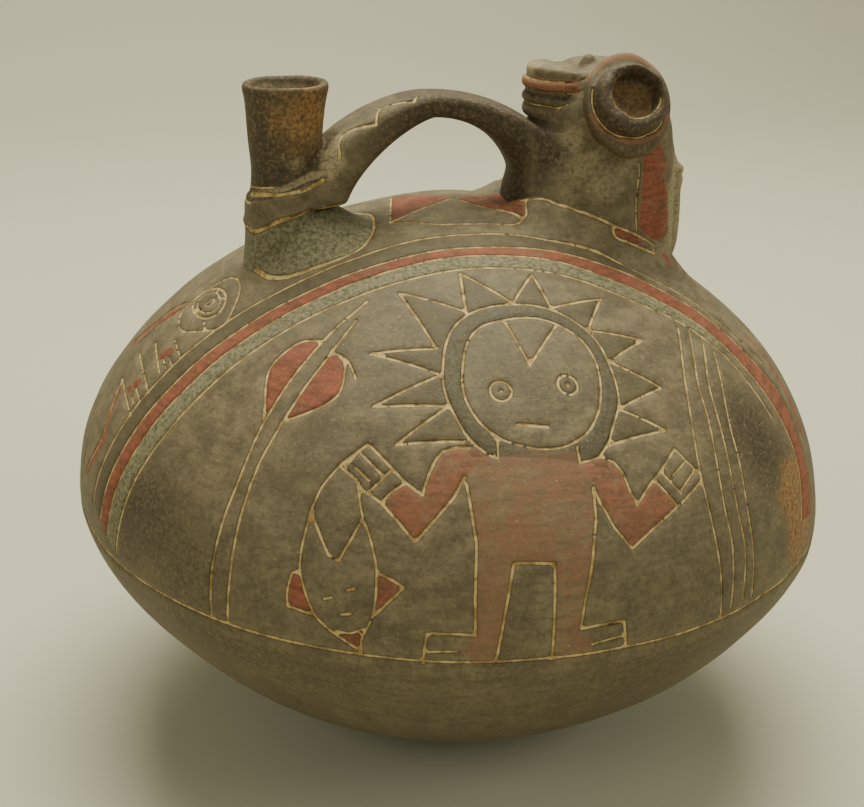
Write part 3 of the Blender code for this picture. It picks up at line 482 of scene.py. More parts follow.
SMOOTH_LINES = (
    (0.30, 0.55, HUNG_HEAD_LEFT),
    (0.30, 0.60, HUNG_HEAD_RIGHT),
    (0.27, 0.85, ((-63.4, -116.9), (-59.3, -119.1), (-55, -119.3))),
    (0.34, 0.6, STALK_LEFT),
    (0.34, 0.6, STALK_RIGHT),
    (0.32, 0.55, UPPER_LEAF),
    (0.32, 0.55, LOWER_LEAF),
    (0.27, 0.6, ((-44.8, -51.7), (-41.5, -56.6), (-40.7, -62.8))),
    (0.32, 0.9, ((-68.3, 3.7), (-62.6, 0.5), (-60.9, -5.7), (-62.6, -14.4), (-67.6, -22.5),
        (-71.8, -21.3), (-73, -19.2), (-72.7, -14.6))),
    (0.32, 0.9, ((-68.3, 3.7), (-74.8, 2.2), (-78.5, -1.1), (-79.3, -10.8), (-73.8, -19.5))),
    (0.30, 0.7, CREATURE_BACK),
    (0.30, 0.9, ((-78.1, 2.5), (-84.6, 6.3), (-93, 9.5))),
    (0.30, 0.9, CREATURE_TAIL),
    (0.30, 0.7, ((-110.5, 10), (-120, -2.2), (-129, -6.8))),
    (0.30, 0.8, NECK_FOOT),
    (0.23, 0.6, FOOT_UPPER),
    (0.23, 0.5, FOOT_LOWER),
)
# ovals: the same two numbers, then centre, half sizes and number of steps
OVAL_LINES = (
    (0.30, 1.0, LEFT_EYE, 2.7, 2.7, 16),
    (0.34, 1.0, RIGHT_EYE, 2.6, 2.6, 16),
    (0.23, 0.9, LEFT_EYE, 0.3, 0.3, 6),
    (0.27, 1.0, RIGHT_EYE, 0.4, 0.4, 6),
    (0.27, 0.9, CREATURE_EYE, 1.5, 1.5, 12),
)
drawn_lines = [
    (frame_inner, 0.34, 0.62),
    (red_lower, 0.32, 0.38),
    (red_upper, 0.32, 0.50),
    (frame_outer, 0.34, 0.55),
    (face_outer, 0.31, 0.85),
    (face_inner, 0.31, 0.85),
    (creature_ring, 0.34, 0.95),
    (creature_inner_ring, 0.23, 0.7),
    (spout_oval, 0.43, 1.0),
]
drawn_lines += [(straight(points), half_width, left) for half_width, left, points in STRAIGHT_LINES]
drawn_lines += [(spline(points), half_width, left) for half_width, left, points in SMOOTH_LINES]
drawn_lines += [(oval(*shape), half_width, left) for half_width, left, *shape in OVAL_LINES]
drawn_lines += [(spline(points), 0.30, 0.80) for points in FALLING_LINES]
# the far side is plainer: one band line, the foot of the neck, and the edge of the top panel again
FAR_SIDE = (1.0, -1.0)
drawn_lines += [
    (red_lower[::2] * FAR_SIDE, 0.34, 0.5),
    (spline(NECK_FOOT) * FAR_SIDE, 0.30, 0.5),
    (straight(((-13.4, 19.5), (-8.2, 15.1), (-0.7, 16.1), (12.3, 16.3), (19.4, 5.2))), 0.34, 0.5),
]


def joined(*lines):
    """Lines laid end to end round an area."""
    return np.concatenate([np.asarray(line, float) for line in lines])


sleeves = [joined(LEFT_SLEEVE), joined(RIGHT_SLEEVE)]
tunic = joined(((-20.5, -94), (-17.9, -87.9), (-12, -89.5), (-4.9, -89.7), (4.6, -90.8), (9.3, -91)),
               RIGHT_SIDE[:6], ((11, -134), (12.5, -138.6), (-1.6, -139)), BETWEEN_LEGS[::-1],
               ((-28, -136), (-28.5, -131.5)), LEFT_SIDE[3::-1])
red_areas = [
    joined(red_lower, red_upper[::-1]),
    joined(spline(UPPER_LEAF), STALK_LEFT[2:0:-1]),
    joined(spline(LOWER_LEAF), ((-58.7, -63.7), (-44.1, -52.1))),
    joined(LEFT_EAR),
    joined(((-47.3, -108.6), (-41.8, -113.6), (-50, -116.8))),
    joined(((-64.5, -116.3), (-60.2, -118.8), (-54.6, -119.7), (-57.9, -124.3))),
    joined(((-87.2, -13.0), (-82.5, -16.0), (-82.3, -19.5), (-87.3, -16.5))),
    joined(((-99.5, -12), (-94.0, -14.5), (-93.8, -18), (-99.5, -16))),
    joined(CREATURE_BACK, ((-97, 14.5), (-86, 8.2), (-79, 3))),
    joined(CREATURE_TAIL, ((-124, -17), (-112, -21.5), (-101, -9.5))),
    joined(((13.6, -15.6), (-1.1, 0.9), (19.4, 5.2), (16.4, -6.8))),
    joined(((-19.3, -8), (-1.1, 0.9), (-13.4, 19.5))),
    joined(FOOT_UPPER[:4], ((46.8, -20.1),), FOOT_LOWER[3::-1]),
    joined(((52.7, -18), (56.3, -16.2), (58.8, -16.9), (56.5, -18.1), (53.2, -18.8))),
    joined(((80, -27.5), (86, -31.5), (91, -35.5), (95, -40), (98.5, -46), (102, -54), (99, -54), (95, -47),
            (91.5, -42), (86, -36), (80, -31.5))),
]
GREEN_END, DARK_END = 63.0, 44.0  # how far along the dome these paints run in the bands
green_areas = [
    joined(frame_inner[frame_inner[:, 0] < GREEN_END], red_lower[red_lower[:, 0] < GREEN_END][::-1]),
    spout_oval,
]
dark_areas = [
    joined(red_upper[red_upper[:, 0] < DARK_END], frame_outer[frame_outer[:, 0] < DARK_END][::-1]),
    joined(straight(HEAD_STAR), ((17, -95), (-18, -90))),
    oval(RIGHT_EYE, 2.4, 2.4, 16),
]
ring_area = joined(face_outer, ((9.3, -91.5), (-6, -91)))


def body_rows():
    """Arc lengths of the rows down the dome and down the bowl, and the step between columns in each."""
    dome = np.linspace(0.0, DOME_SPAN, int(DOME_SPAN / ROW_STEP) + 1)[1:]
    halvings = sum((dome < limit).astype(int) for limit in HALVINGS)
    bowl = np.concatenate([BOWL_NEAR_ROWS, np.arange(BOWL_FAR_START, bowl_arc[-1] - 1.0, BOWL_STEP)])
    return dome, 2 ** halvings, bowl, np.where(bowl < 1.5, 1, np.where(bowl < 4.0, 2, 4))


def bearings():
    """Column bearings: close together on the carved side, wider apart on the plain far side."""
    fine = np.linspace(FINE_START, FINE_END, FINE_COLUMNS, endpoint=False)
    plain = np.linspace(FINE_END, FINE_START + 2 * math.pi, PLAIN_COLUMNS, endpoint=False)
    return np.concatenate([fine, plain])


def stitch(upper, lower, snapped):
    """Triangles between two closed rows of corners. Equal rows give split squares, cut along the side
    that joins two corners of a drawn line; where one row has half the corners, three triangles a step."""
    n, m = len(upper), len(lower)
    if n == m:
        a, b = upper, np.roll(upper, -1)
        c, d = lower, np.roll(lower, -1)
        other = ((snapped[a] & snapped[d]) & ~(snapped[b] & snapped[c]))[:, None]
        first = np.where(other, np.stack([a, c, d], 1), np.stack([a, c, b], 1))
        second = np.where(other, np.stack([a, d, b], 1), np.stack([b, c, d], 1))
        return np.concatenate([first, second])
    if m == 2 * n:
        a, b = upper, np.roll(upper, -1)
        c, middle, d = lower[0::2], lower[1::2], np.roll(lower[0::2], -1)
        sides = ((a, c, middle), (a, middle, b), (b, middle, d))
    else:
        a, middle, b = upper[0::2], upper[1::2], np.roll(upper[0::2], -1)
        c, d = lower, np.roll(lower, -1)
        sides = ((a, c, middle), (middle, c, d), (middle, d, b))
    return np.concatenate([np.stack(side, 1) for side in sides])


def fan(centre, row, turned_over=False):
    """Triangles from one corner to each side of a closed row."""
    after = np.roll(row, -1)
    first, second = (after, row) if turned_over else (row, after)
    return np.stack([np.full(len(row), centre), first, second], 1)


def skin(rings, tube=False):
    """Corners and triangles of a stack of closed rings, its ends closed by a fan or joined as a tube."""
    count, sides = rings.shape[:2]
    points = rings.reshape(-1, 3)
    index = np.arange(count * sides).reshape(count, sides)
    low, high = (index, np.roll(index, -1, axis=0)) if tube else (index[:-1], index[1:])
    a, b = low.ravel(), np.roll(low, -1, axis=1).ravel()
    c, d = high.ravel(), np.roll(high, -1, axis=1).ravel()
    faces = [np.stack([a, b, d], 1), np.stack([a, d, c], 1)]
    if not tube:
        points = np.concatenate([points, rings[:1].mean(1), rings[-1:].mean(1)])
        faces += [fan(len(points) - 2, index[0], True), fan(len(points) - 1, index[-1])]
    return points, np.concatenate(faces)


def warp(points):
    """The maker's hand: the body is a little flatter low on the left and fuller low on the right, and
    its skin rises and dips by a few tenths of a millimetre over a few centimetres."""
    x, y, z = points.T
    bearing = np.arctan2(y, x)
    low = np.exp(-((z - 34.0) / 30.0) ** 2)
    left = np.exp(-((np.angle(np.exp(1j * (bearing - math.radians(-165.0))))) / 0.7) ** 2)
    right = np.exp(-((np.angle(np.exp(1j * (bearing - math.radians(-20.0))))) / 0.6) ** 2)
    swell = (-1.7 * left + 1.1 * right) * low
    ripple = 0.20 * np.sin(x / 9.0 + 1.0) * np.sin(y / 11.0) + 0.16 * np.sin(z / 8.0 + x / 19.0 + 2.0)
    ripple += 0.10 * np.sin(x / 4.1 + y / 5.3) * np.sin(z / 4.7 + 0.5)
    return swell + ripple * np.clip(z / 6.0, 0.0, 1.0)


def ramp_between(value, low, high):
    """0 below low, 1 above high, a smooth step between."""
    share = np.clip((value - low) / (high - low), 0.0, 1.0)
    return share * share * (3 - 2 * share)


def fades(value, low, high):
    """1 below low, 0 above high, a smooth step between."""
    return ramp_between(-value, -high, -low)


def joint_rise(points):
    """The clay smeared up where the spout and the neck stand: it climbs as a power of the share of the way
    from the skirt's outline to the wall. The spout's skirt ends at the incised oval line, and the neck's is
    high at its two sides and low in front and behind."""
    x, y = points[:, 0], points[:, 1]
    from_spout = np.hypot(x - SPOUT_X, y - SPOUT_Y) - SPOUT_FOOT_RADIUS
    to_line = SKIRT_RADIUS - np.hypot(x - SKIRT_X, y - SKIRT_Y)
    span = np.maximum(from_spout + to_line, 0.5)
    height = SKIRT_HEIGHT * np.clip(span / 9.0, 0.2, 1.0)
    rise = height * np.clip(to_line / span, 0.0, 1.0) ** SKIRT_HOLLOW
    across, deep = (x - HEAD_X) / (HEAD_LENGTH / 2), y / (HEAD_WIDTH / 2)
    from_neck = (np.hypot(across, deep) - 1.0) * math.sqrt(HEAD_LENGTH * HEAD_WIDTH) / 2
    at_side = 0.15 + 0.85 * ramp_between(np.abs(y), 3.0, 15.0)
    climb = np.clip(1.0 - from_neck / NECK_SKIRT_WIDTH, 0.0, 1.0) ** SKIRT_HOLLOW
    return rise + NECK_SKIRT_HEIGHT * at_side * climb


def patches(points, places):
    """Sum of soft round spots: each place is x, y, z, radius and strength."""
    total = np.zeros(len(points))
    for x, y, z, radius, strength in places:
        total += strength * np.exp(-(((points - (x, y, z)) / radius) ** 2).sum(1))
    return total


# soft round places where the fire or wear changed the clay: x, y, z, radius, strength
UMBER_PLACES = ((-91, -36, 80, 16, 0.55), (-84, -48, 92, 13, 0.35), (-74, -56, 78, 16, 0.32),
                (57, -64, 100, 14, 0.55), (52, -62, 110, 13, 0.30), (66, -62, 90, 13, 0.42),
                (-36, -50, 130, 20, 0.22), (10, -55, 128, 26, 0.16), (-70, -62, 70, 14, 0.3),
                (-20, -60, 128, 16, 0.2), (30, -96, 60, 30, 0.25), (0, 60, 120, 40, 0.35),
                (60, 70, 80, 30, 0.45), (-70, 60, 80, 26, 0.35), (-60, -30, 118, 12, 0.2),
                (-52, -78, 66, 18, 0.25), (40, -86, 84, 16, 0.2), (92, -30, 80, 14, 0.3))
RUST_PLACES = ((76, -62, 84, 11, 1.4), (72, -68, 75, 8, 0.9), (66, -68, 88, 6, 0.4),
               (-80, -16, 104, 10, 0.35), (40, 78, 90, 22, 0.35), (-30, 90, 70, 24, 0.3),
               (20, -98, 66, 26, 0.12))
CHALK_PLACES = ((-30, -52, 128, 14, 0.15), (10, -80, 102, 20, 0.2), (-52, -76, 84, 12, 0.2),
                (-70, -40, 106, 10, 0.3), (36, -66, 112, 14, 0.15), (0, 50, 130, 22, 0.2))
# how much darker the whole bowl is below the shoulder
BOWL_UMBER = 0.28
SLEEVE_WEAR, TUNIC_WEAR = -0.16, -0.05  # the nearer to 0, the more of the red is worn off


def keep_values(piece, **values):
    """Stores numbers for each point of a piece, for its material to read."""
    for name, value in values.items():
        attribute = piece.data.attributes.new(name, "FLOAT", "POINT")
        attribute.data.foreach_set("value", np.asarray(value, np.float32))


def column_spacing(drawn, steps):
    """Distance in mm from each of the dome's points to the next one in its row."""
    fine_step = (FINE_END - FINE_START) / FINE_COLUMNS
    plain_step = (2 * math.pi - FINE_END + FINE_START) / PLAIN_COLUMNS
    from_start = np.mod(np.arctan2(drawn[:, 1], drawn[:, 0]) - FINE_START, 2 * math.pi)
    angle = np.where(from_start > FINE_END - FINE_START, plain_step, fine_step)
    radius = np.interp(np.hypot(drawn[:, 0], drawn[:, 1]), dome_arc, dome_radius)
    return np.maximum(steps * radius * angle, 0.1)


def nearest_line(lines, near, points):
    """Each point's distance and step to the nearest of some lines, and how much earth that line holds."""
    nearest = np.full(len(points), REACH)
    move, fill = np.zeros_like(points), np.ones(len(points))
    for line, _, left_in_line in lines:
        distance, step = near(line)
        closer = distance < nearest
        nearest[closer], move[closer], fill[closer] = distance[closer], step[closer], left_in_line
    return nearest, move, fill


def snapped_to_lines(drawn, steps, free):
    """Moves the free corners nearest a drawn line onto it, where that is less than about half a step."""
    drawing = DomeDrawing(drawn)
    nearest, move, fill = nearest_line(drawn_lines, drawing.near, drawn)
    out = drawing.out
    down = np.abs((move * out).sum(1)) / ROW_STEP
    across = np.abs(move[:, 0] * out[:, 1] - move[:, 1] * out[:, 0]) * drawing.shrink
    small = down + across / column_spacing(drawn, steps) < SNAP_MOVE
    snapped = (nearest < SNAP_NEAR * ROW_STEP) & small & free
    return drawn + np.where(snapped[:, None], move, 0.0), snapped, fill


def paint_edges(drawing):
    """Signed distances to the edges of the painted areas, negative inside them."""
    def nearest_edge(outlines):
        """The least of the signed distances to some outlines."""
        return np.minimum.reduce([drawing.area(outline) for outline in outlines])

    face, by_eye = drawing.area(face_inner), np.hypot(*(drawing.points - RIGHT_EYE).T) < 3.0
    worn = [np.maximum(nearest_edge(sleeves), SLEEVE_WEAR), np.maximum(drawing.area(tunic), TUNIC_WEAR)]
    return {
        "red": np.minimum.reduce([nearest_edge(red_areas), *worn]),
        "green": nearest_edge(green_areas),
        "ring": np.maximum(drawing.area(ring_area), -face),
        "dark": np.maximum(nearest_edge(dark_areas), np.where(by_eye, -REACH, -face)),
    }


def dome_surface(drawing, line_middle, from_edge):
    """Drawn points carried onto the dome: its profile turned round, its warp added, the lines and the
    shoulder line cut in as notches, and the clay raised round the spout and the neck."""
    arc = np.hypot(*drawing.points.T)
    out = drawing.points / np.maximum(arc, 1e-9)[:, None]
    radius, height = np.interp(arc, dome_arc, dome_radius), np.interp(arc, dome_arc, dome_height)
    slope_r = np.interp(arc, dome_arc, np.gradient(dome_radius, dome_arc))
    slope_z = np.interp(arc, dome_arc, np.gradient(dome_height, dome_arc))
    dome = np.column_stack([out * radius[:, None], height])
    normal = unit(np.column_stack([out * -slope_z[:, None], slope_r]))
    cut = GROOVE_DEPTH * np.clip(1.0 - line_middle / GROOVE_HALF_WIDTH, 0.0, 1.0)
    cut += SHOULDER_GROOVE_DEPTH * np.clip(1.0 - from_edge / SHOULDER_GROOVE_WIDTH, 0.0, 1.0)
    dome += normal * (warp(dome) - cut)[:, None]
    dome[:, 2] += joint_rise(dome)
    return dome


def bowl_surface(rings, arcs):
    """The bowl's profile turned round and warped, except where it stands on its foot."""
    parts = []
    for ring, arc in zip(rings, arcs):
        radius, height = np.interp(arc, bowl_arc, bowl_radius), np.interp(arc, bowl_arc, bowl_height)
        parts.append(np.stack([radius * np.cos(ring), radius * np.sin(ring), height + 0 * ring], 1))
    bowl = np.concatenate(parts)
    off_foot = bowl[:, 2] > 0.01
    out = unit(np.column_stack([bowl[:, :2], np.where(off_foot, -0.25, -50.0) * BODY_RADIUS]))
    out[:, 2] = 0.0
    return bowl + out * (warp(bowl) * off_foot)[:, None]


def inner_wall(ring):
    """The cavity, from the bottom up: the body's profile drawn in by the wall, turned to face inward."""
    angle = np.linspace(0.0, math.pi / 2, INNER_ROWS)[1:]
    up, down = angle[::-1], angle[-2::-1]
    share = np.concatenate([np.cos(down) ** BOWL_OUT, np.sin(up) ** DOME_OUT])
    fall = (SHOULDER_HEIGHT - WALL) * np.sin(down) ** BOWL_DOWN
    rise = (DOME_RISE - WALL) * np.abs(np.cos(up)) ** DOME_UP
    radius = (BODY_RADIUS - WALL) * share[:, None]
    height = SHOULDER_HEIGHT + np.concatenate([-fall, rise])[:, None]
    points, faces = skin(np.stack([radius * np.cos(ring), radius * np.sin(ring), height + 0 * ring], -1))
    points[-2:] = (0.0, 0.0, WALL), (0.0, 0.0, SHOULDER_HEIGHT + DOME_RISE - WALL)
    return points, faces[:, ::-1]


def build_body():
    """The closed shell: dome rows, bowl rows, then the inner wall, each a row of points on a circle."""
    bearing = bearings()
    dome_rows, dome_steps, bowl_rows, bowl_steps = body_rows()
    dome_rings = [bearing[::step] for step in dome_steps]
    bowl_rings = [bearing[::step] for step in bowl_steps]
    sizes = [len(ring) for ring in dome_rings + bowl_rings]
    starts = np.cumsum([0] + sizes)
    rows = [np.arange(start, start + size) for start, size in zip(starts, sizes)]
    drawn = np.concatenate([arc * np.stack([np.cos(ring), np.sin(ring)], 1)
                            for arc, ring in zip(dome_rows, dome_rings)])
    steps = np.concatenate([np.full(len(ring), step) for ring, step in zip(dome_rings, dome_steps)])
    free = np.ones(len(drawn), bool)
    free[rows[0]] = False
    free[rows[len(dome_rings) - 1]] = False
    drawn, snapped, fill = snapped_to_lines(drawn, steps, free)
    drawing = DomeDrawing(drawn)
    line_edge, line_middle = np.full((2, len(drawn)), REACH)
    for line, half_width, _ in drawn_lines:
        distance, _ = drawing.near(line)
        line_edge = np.minimum(line_edge, distance - half_width)
        line_middle = np.minimum(line_middle, distance * FULL_DEPTH_HALF_WIDTH / half_width)
    from_edge = np.abs(np.hypot(*drawn.T) - DOME_SPAN + SHOULDER_LINE_RISE)
    dome = dome_surface(drawing, line_middle, from_edge)
    bowl = bowl_surface(bowl_rings, bowl_rows)

    fill = np.where(from_edge < line_edge, SHOULDER_FILL, fill)
    line_edge = np.minimum(line_edge, from_edge - SHOULDER_HALF_WIDTH)
    below_edge = np.concatenate([np.full(len(ring), arc) for ring, arc in zip(bowl_rings, bowl_rows)])
    below_edge = np.minimum(below_edge + SHOULDER_LINE_RISE - SHOULDER_HALF_WIDTH, REACH)
    values = paint_edges(drawing)
    values["line"] = np.concatenate([line_edge, below_edge])
    values["fill"] = np.concatenate([fill, np.full(len(bowl), SHOULDER_FILL)])

    top, foot = starts[-1], starts[-1] + 1
    snapped = np.concatenate([snapped, np.zeros(len(bowl), bool)])
    faces = [stitch(upper, lower, snapped) for upper, lower in zip(rows[:-1], rows[1:])]
    faces += [fan(top, rows[0]), fan(foot, rows[-1], True)]
    wall_points, wall_faces = inner_wall(bearing[::INNER_COLUMN_STEP])
    points = np.concatenate([dome, bowl, [[0.0, 0.0, dome_height[0]], [0.0, 0.0, 0.0]], wall_points])
    body = link_mesh("body", points * MM, np.concatenate(faces + [wall_faces + foot + 1]))
    for name, value in values.items():
        full = np.full(len(points), REACH)
        full[:len(value)] = value
        keep_values(body, **{name: full})
    below = fades(points[:, 2], 62.0, 67.0)
    keep_values(body, umber=np.clip(patches(points, UMBER_PLACES) + BOWL_UMBER * below, 0, 1),
                rust=np.clip(patches(points, RUST_PLACES), 0, 1),
                chalk=np.clip(patches(points, CHALK_PLACES), 0, 1))
    return body


def pierce(piece, place, radius, height):
    """Cuts a round hole down through a piece."""
    angle = np.linspace(0.0, 2 * math.pi, 48, endpoint=False)
    circle = np.stack([radius * np.cos(angle), radius * np.sin(angle), 0 * angle], 1) + place
    half = (0.0, 0.0, height / 2)
    points, faces = skin(np.stack([circle - half, circle + half]))
    cutter = link_mesh("hole", points * MM, faces)
    cut = piece.modifiers.new("hole", "BOOLEAN")
    cut.operation, cut.solver, cut.object = "DIFFERENCE", "EXACT", cutter
    depsgraph = bpy.context.evaluated_depsgraph_get()
    mesh = bpy.data.meshes.new_from_object(piece.evaluated_get(depsgraph))
    piece.modifiers.clear()
    piece.data = mesh
    bpy.data.objects.remove(cutter)


body = build_body()
pierce(body, (SPOUT_X, SPOUT_Y, HOLE_MIDDLE), HOLE_RADIUS, HOLE_HEIGHT)


# Clay and paint
# The clay is burnished, mottled by the fire, granular where it is worn. Red, grey-green and dark earth
# paints are rubbed into the areas between the lines, and pale earth has settled in the lines themselves.
def srgb(red, green, blue):
    """A colour given as 0 to 255 in screen values, made linear."""
    c = np.array([red, green, blue]) / 255.0
    linear = np.where(c <= 0.04045, c / 12.92, ((c + 0.055) / 1.055) ** 2.4)
    return (*[float(v) for v in linear], 1.0)


class Mixture:
    """A material under construction: nodes are added by what they do and joined as they are made."""

    def __init__(self, name):
        self.material = bpy.data.materials.new(name)
        self.material.use_nodes = True
        self.tree = self.material.node_tree
        self.shader = self.tree.nodes["Principled BSDF"]
        self.place = self.add("ShaderNodeTexCoord").outputs["Object"]

    def add(self, kind, **settings):
        """A new node of a kind with its settings."""
        node = self.tree.nodes.new(kind)
        for key, value in settings.items():
            setattr(node, key, value)
        return node

    def put(self, socket, value):
        """Joins a socket to another or sets it."""
        if isinstance(value, bpy.types.NodeSocket):
            self.tree.links.new(value, socket)
        else:
            socket.default_value = value

    def stretched(self, scale):
        """Object coordinates stretched by a factor for each axis."""
        node = self.add("ShaderNodeMapping")
        self.put(node.inputs["Vector"], self.place)
        node.inputs["Scale"].default_value = scale
        return node.outputs["Vector"]

    def noise(self, size, detail=3.0, rough=0.55, place=None, bend=0.0):
        """Cloudy noise from 0 to 1 with features of about a size in mm."""
        node = self.add("ShaderNodeTexNoise")
        self.put(node.inputs["Vector"], self.place if place is None else place)
        node.inputs["Scale"].default_value = 1.0 / (size * MM)
        node.inputs["Detail"].default_value = detail
        node.inputs["Roughness"].default_value = rough
        node.inputs["Distortion"].default_value = bend
        return node.outputs["Fac"]

    def value(self, name):
        """A value kept at the mesh's points."""
        node = self.add("ShaderNodeAttribute", attribute_name=name)
        return node.outputs["Fac"]

    def ramp(self, value, low, high, to_low=0.0, to_high=1.0):
        """A smooth step of a value from low to high."""
        node = self.add("ShaderNodeMapRange", interpolation_type="SMOOTHSTEP")
        self.put(node.inputs["Value"], value)
        for key, number in (("From Min", low), ("From Max", high), ("To Min", to_low), ("To Max", to_high)):
            self.put(node.inputs[key], number)
        return node.outputs["Result"]

    def math(self, operation, a, b=0.0, c=0.0):
        """One sum, product or other operation on up to three values."""
        node = self.add("ShaderNodeMath", operation=operation)
        for socket, value in zip(node.inputs, (a, b, c)):
            self.put(socket, value)
        return node.outputs["Value"]

    def mix(self, amount, a, b):
        """Colour a turned into colour b by an amount."""
        node = self.add("ShaderNodeMix", data_type="RGBA")
        self.put(node.inputs["Factor"], amount)
        self.put(node.inputs["A"], a)
        self.put(node.inputs["B"], b)
        return node.outputs["Result"]

    def over(self, colour, tone, most, value, low, high):
        """A colour with a tone laid over it, up to an amount, as a value goes from low to high."""
        return self.mix(self.ramp(value, low, high, 0.0, most), colour, tone)


def clay_material():
    """Base clay, fire clouds, stains and painted shade, paints, lines edged with painted shade, specks,
    then grain as bump and a burnished gloss.
    """
    m = Mixture("painted_clay")
    names = ("line", "red", "green", "dark", "ring", "fill", "umber", "rust", "chalk")
    line, red, green, dark, ring, fill, umber, rust, chalk = [m.value(name) for name in names]
    streaks = m.noise(8.0, 5.0, 0.65, m.stretched((1.0, 1.0, 6.0)))
    clouds = m.noise(34.0, 4.0, 0.6, bend=0.6)
    mottle = m.noise(6.0, 6.0, 0.68)
    grain = m.noise(1.0, 4.0, 0.75)
    fine = m.noise(0.45, 2.0, 0.6)
    ragged = m.math("MULTIPLY_ADD", mottle, 0.9, -0.45)

    def grains(low, high, dark_colour, pale_colour):
        """Two colours, one the grains and one what lies between them."""
        return m.mix(m.ramp(grain, low, high), dark_colour, pale_colour)

    def stained_and_shaded(colour, tone, most, value, low, high):
        """A colour with a stain laid over it, and on some points painted shade, where the points' own
        value, broken up by the mottle, is high.
        """
        return m.over(colour, tone, most, m.math("ADD", value, ragged), low, high)

    def inside(edge, reach):
        """How far a point is inside a painted area, whose edge the mottle makes ragged."""
        return m.ramp(m.math("ADD", edge, ragged), reach, -reach)

    def times(value, amount):
        """A value multiplied by an amount."""
        return m.math("MULTIPLY", value, amount)

    colour = m.mix(m.ramp(mottle, 0.36, 0.66), srgb(100, 90, 69), srgb(130, 118, 92))
    colour = m.over(colour, srgb(89, 80, 64), 0.45, clouds, 0.50, 0.70)
    colour = m.over(colour, srgb(93, 80, 64), 0.50, streaks, 0.46, 0.66)
    # Dark clay of the fire clouds and sooty patches; through the umber value it also paints shade on the
    # strap, at the mouth and deep in the spout's bore.
    soot_and_shade = grains(0.35, 0.65, srgb(50, 41, 31), srgb(86, 72, 54))
    glow = grains(0.35, 0.65, srgb(112, 78, 44), srgb(170, 130, 80))
    dust = grains(0.35, 0.6, srgb(130, 118, 90), srgb(176, 162, 128))
    colour = stained_and_shaded(colour, soot_and_shade, 0.88, umber, 0.10, 0.95)
    colour = stained_and_shaded(colour, glow, 0.80, rust, 0.20, 0.95)
    colour = stained_and_shaded(colour, dust, 0.70, chalk, 0.25, 0.75)
    colour = m.over(colour, srgb(150, 137, 106), 0.36, grain, 0.52, 0.72)
    colour = m.over(colour, srgb(60, 52, 40), 0.45, grain, 0.48, 0.30)

    worn = m.ramp(m.noise(5.0, 5.0, 0.7, bend=0.4), 0.30, 0.50, 0.5, 1.0)
    red_cover = times(inside(red, 0.26), worn)
    red_colour = m.mix(m.ramp(streaks, 0.36, 0.62), srgb(152, 80, 60), srgb(114, 64, 47))
    red_colour = m.over(red_colour, srgb(170, 114, 88), 0.35, grain, 0.45, 0.70)
    red_colour = m.over(red_colour, srgb(148, 124, 97), 0.5, red, -0.22, -0.08)
    colour = m.mix(times(red_cover, 0.85), colour, red_colour)
    green_cover = inside(green, 0.3)
    green_colour = grains(0.34, 0.64, srgb(84, 82, 62), srgb(146, 142, 112))
    colour = m.mix(times(green_cover, 0.72), colour, green_colour)
    # Dark earth paint; on the spout, bridge and head the same value is painted shade at the mouth.
    colour = m.mix(times(inside(dark, 0.3), 0.42), colour, srgb(66, 58, 39))
    ring_amount = times(inside(ring, 0.3), m.ramp(mottle, 0.30, 0.60, 0.35, 0.62))
    colour = m.mix(ring_amount, colour, grains(0.35, 0.65, srgb(70, 66, 50), srgb(98, 93, 74)))

    broken = m.math("MULTIPLY_ADD", fill, 0.6, m.math("ADD", m.noise(2.6, 4.0, 0.7), -0.3))
    broken = m.ramp(broken, 0.24, 0.42, 0.25, 1.0)
    # Painted shade: a thin dark edge round each incised line, standing for the shadow on the groove's wall.
    near_cut = m.math("ADD", line, m.math("MULTIPLY_ADD", m.noise(1.3, 3.0, 0.65), 0.34, -0.17))
    colour = m.over(colour, srgb(42, 34, 22), 0.62, near_cut, 0.26, 0.02)
    filled = times(m.ramp(near_cut, 0.03, -0.10), broken)
    earth = m.mix(m.ramp(m.noise(3.0, 3.0, 0.6), 0.38, 0.62), srgb(152, 126, 78), srgb(216, 188, 128))
    earth = m.over(earth, srgb(128, 104, 64), 0.5, grain, 0.5, 0.3)
    colour = m.mix(times(filled, 0.92), colour, earth)
    specks = m.math("MULTIPLY_ADD", chalk, 0.14, m.noise(0.8, 1.0, 0.5))
    colour = m.over(colour, srgb(176, 162, 124), 0.5, specks, 0.73, 0.82)
    m.put(m.shader.inputs["Base Color"], colour)

    covered = m.math("MAXIMUM", red_cover, m.math("MAXIMUM", green_cover, filled))
    rough = m.math("MULTIPLY_ADD", covered, 0.10, m.ramp(mottle, 0.3, 0.7, 0.58, 0.76))
    m.put(m.shader.inputs["Roughness"], rough)
    m.shader.inputs["Specular IOR Level"].default_value = 0.30

    relief = m.math("MULTIPLY_ADD", fine, 0.06, times(grain, 0.16))
    relief = m.math("MULTIPLY_ADD", streaks, 0.10, relief)
    relief = m.math("MULTIPLY_ADD", m.ramp(line, -0.3, 0.35), 0.20, relief)
    bump = m.add("ShaderNodeBump")
    bump.inputs["Strength"].default_value = 0.8
    bump.inputs["Distance"].default_value = MM
    m.put(bump.inputs["Height"], relief)
    m.put(m.shader.inputs["Normal"], bump.outputs["Normal"])
    return m.material


painted_clay = clay_material()
body.data.materials.append(painted_clay)
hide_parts("bottle")
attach(body, "root")


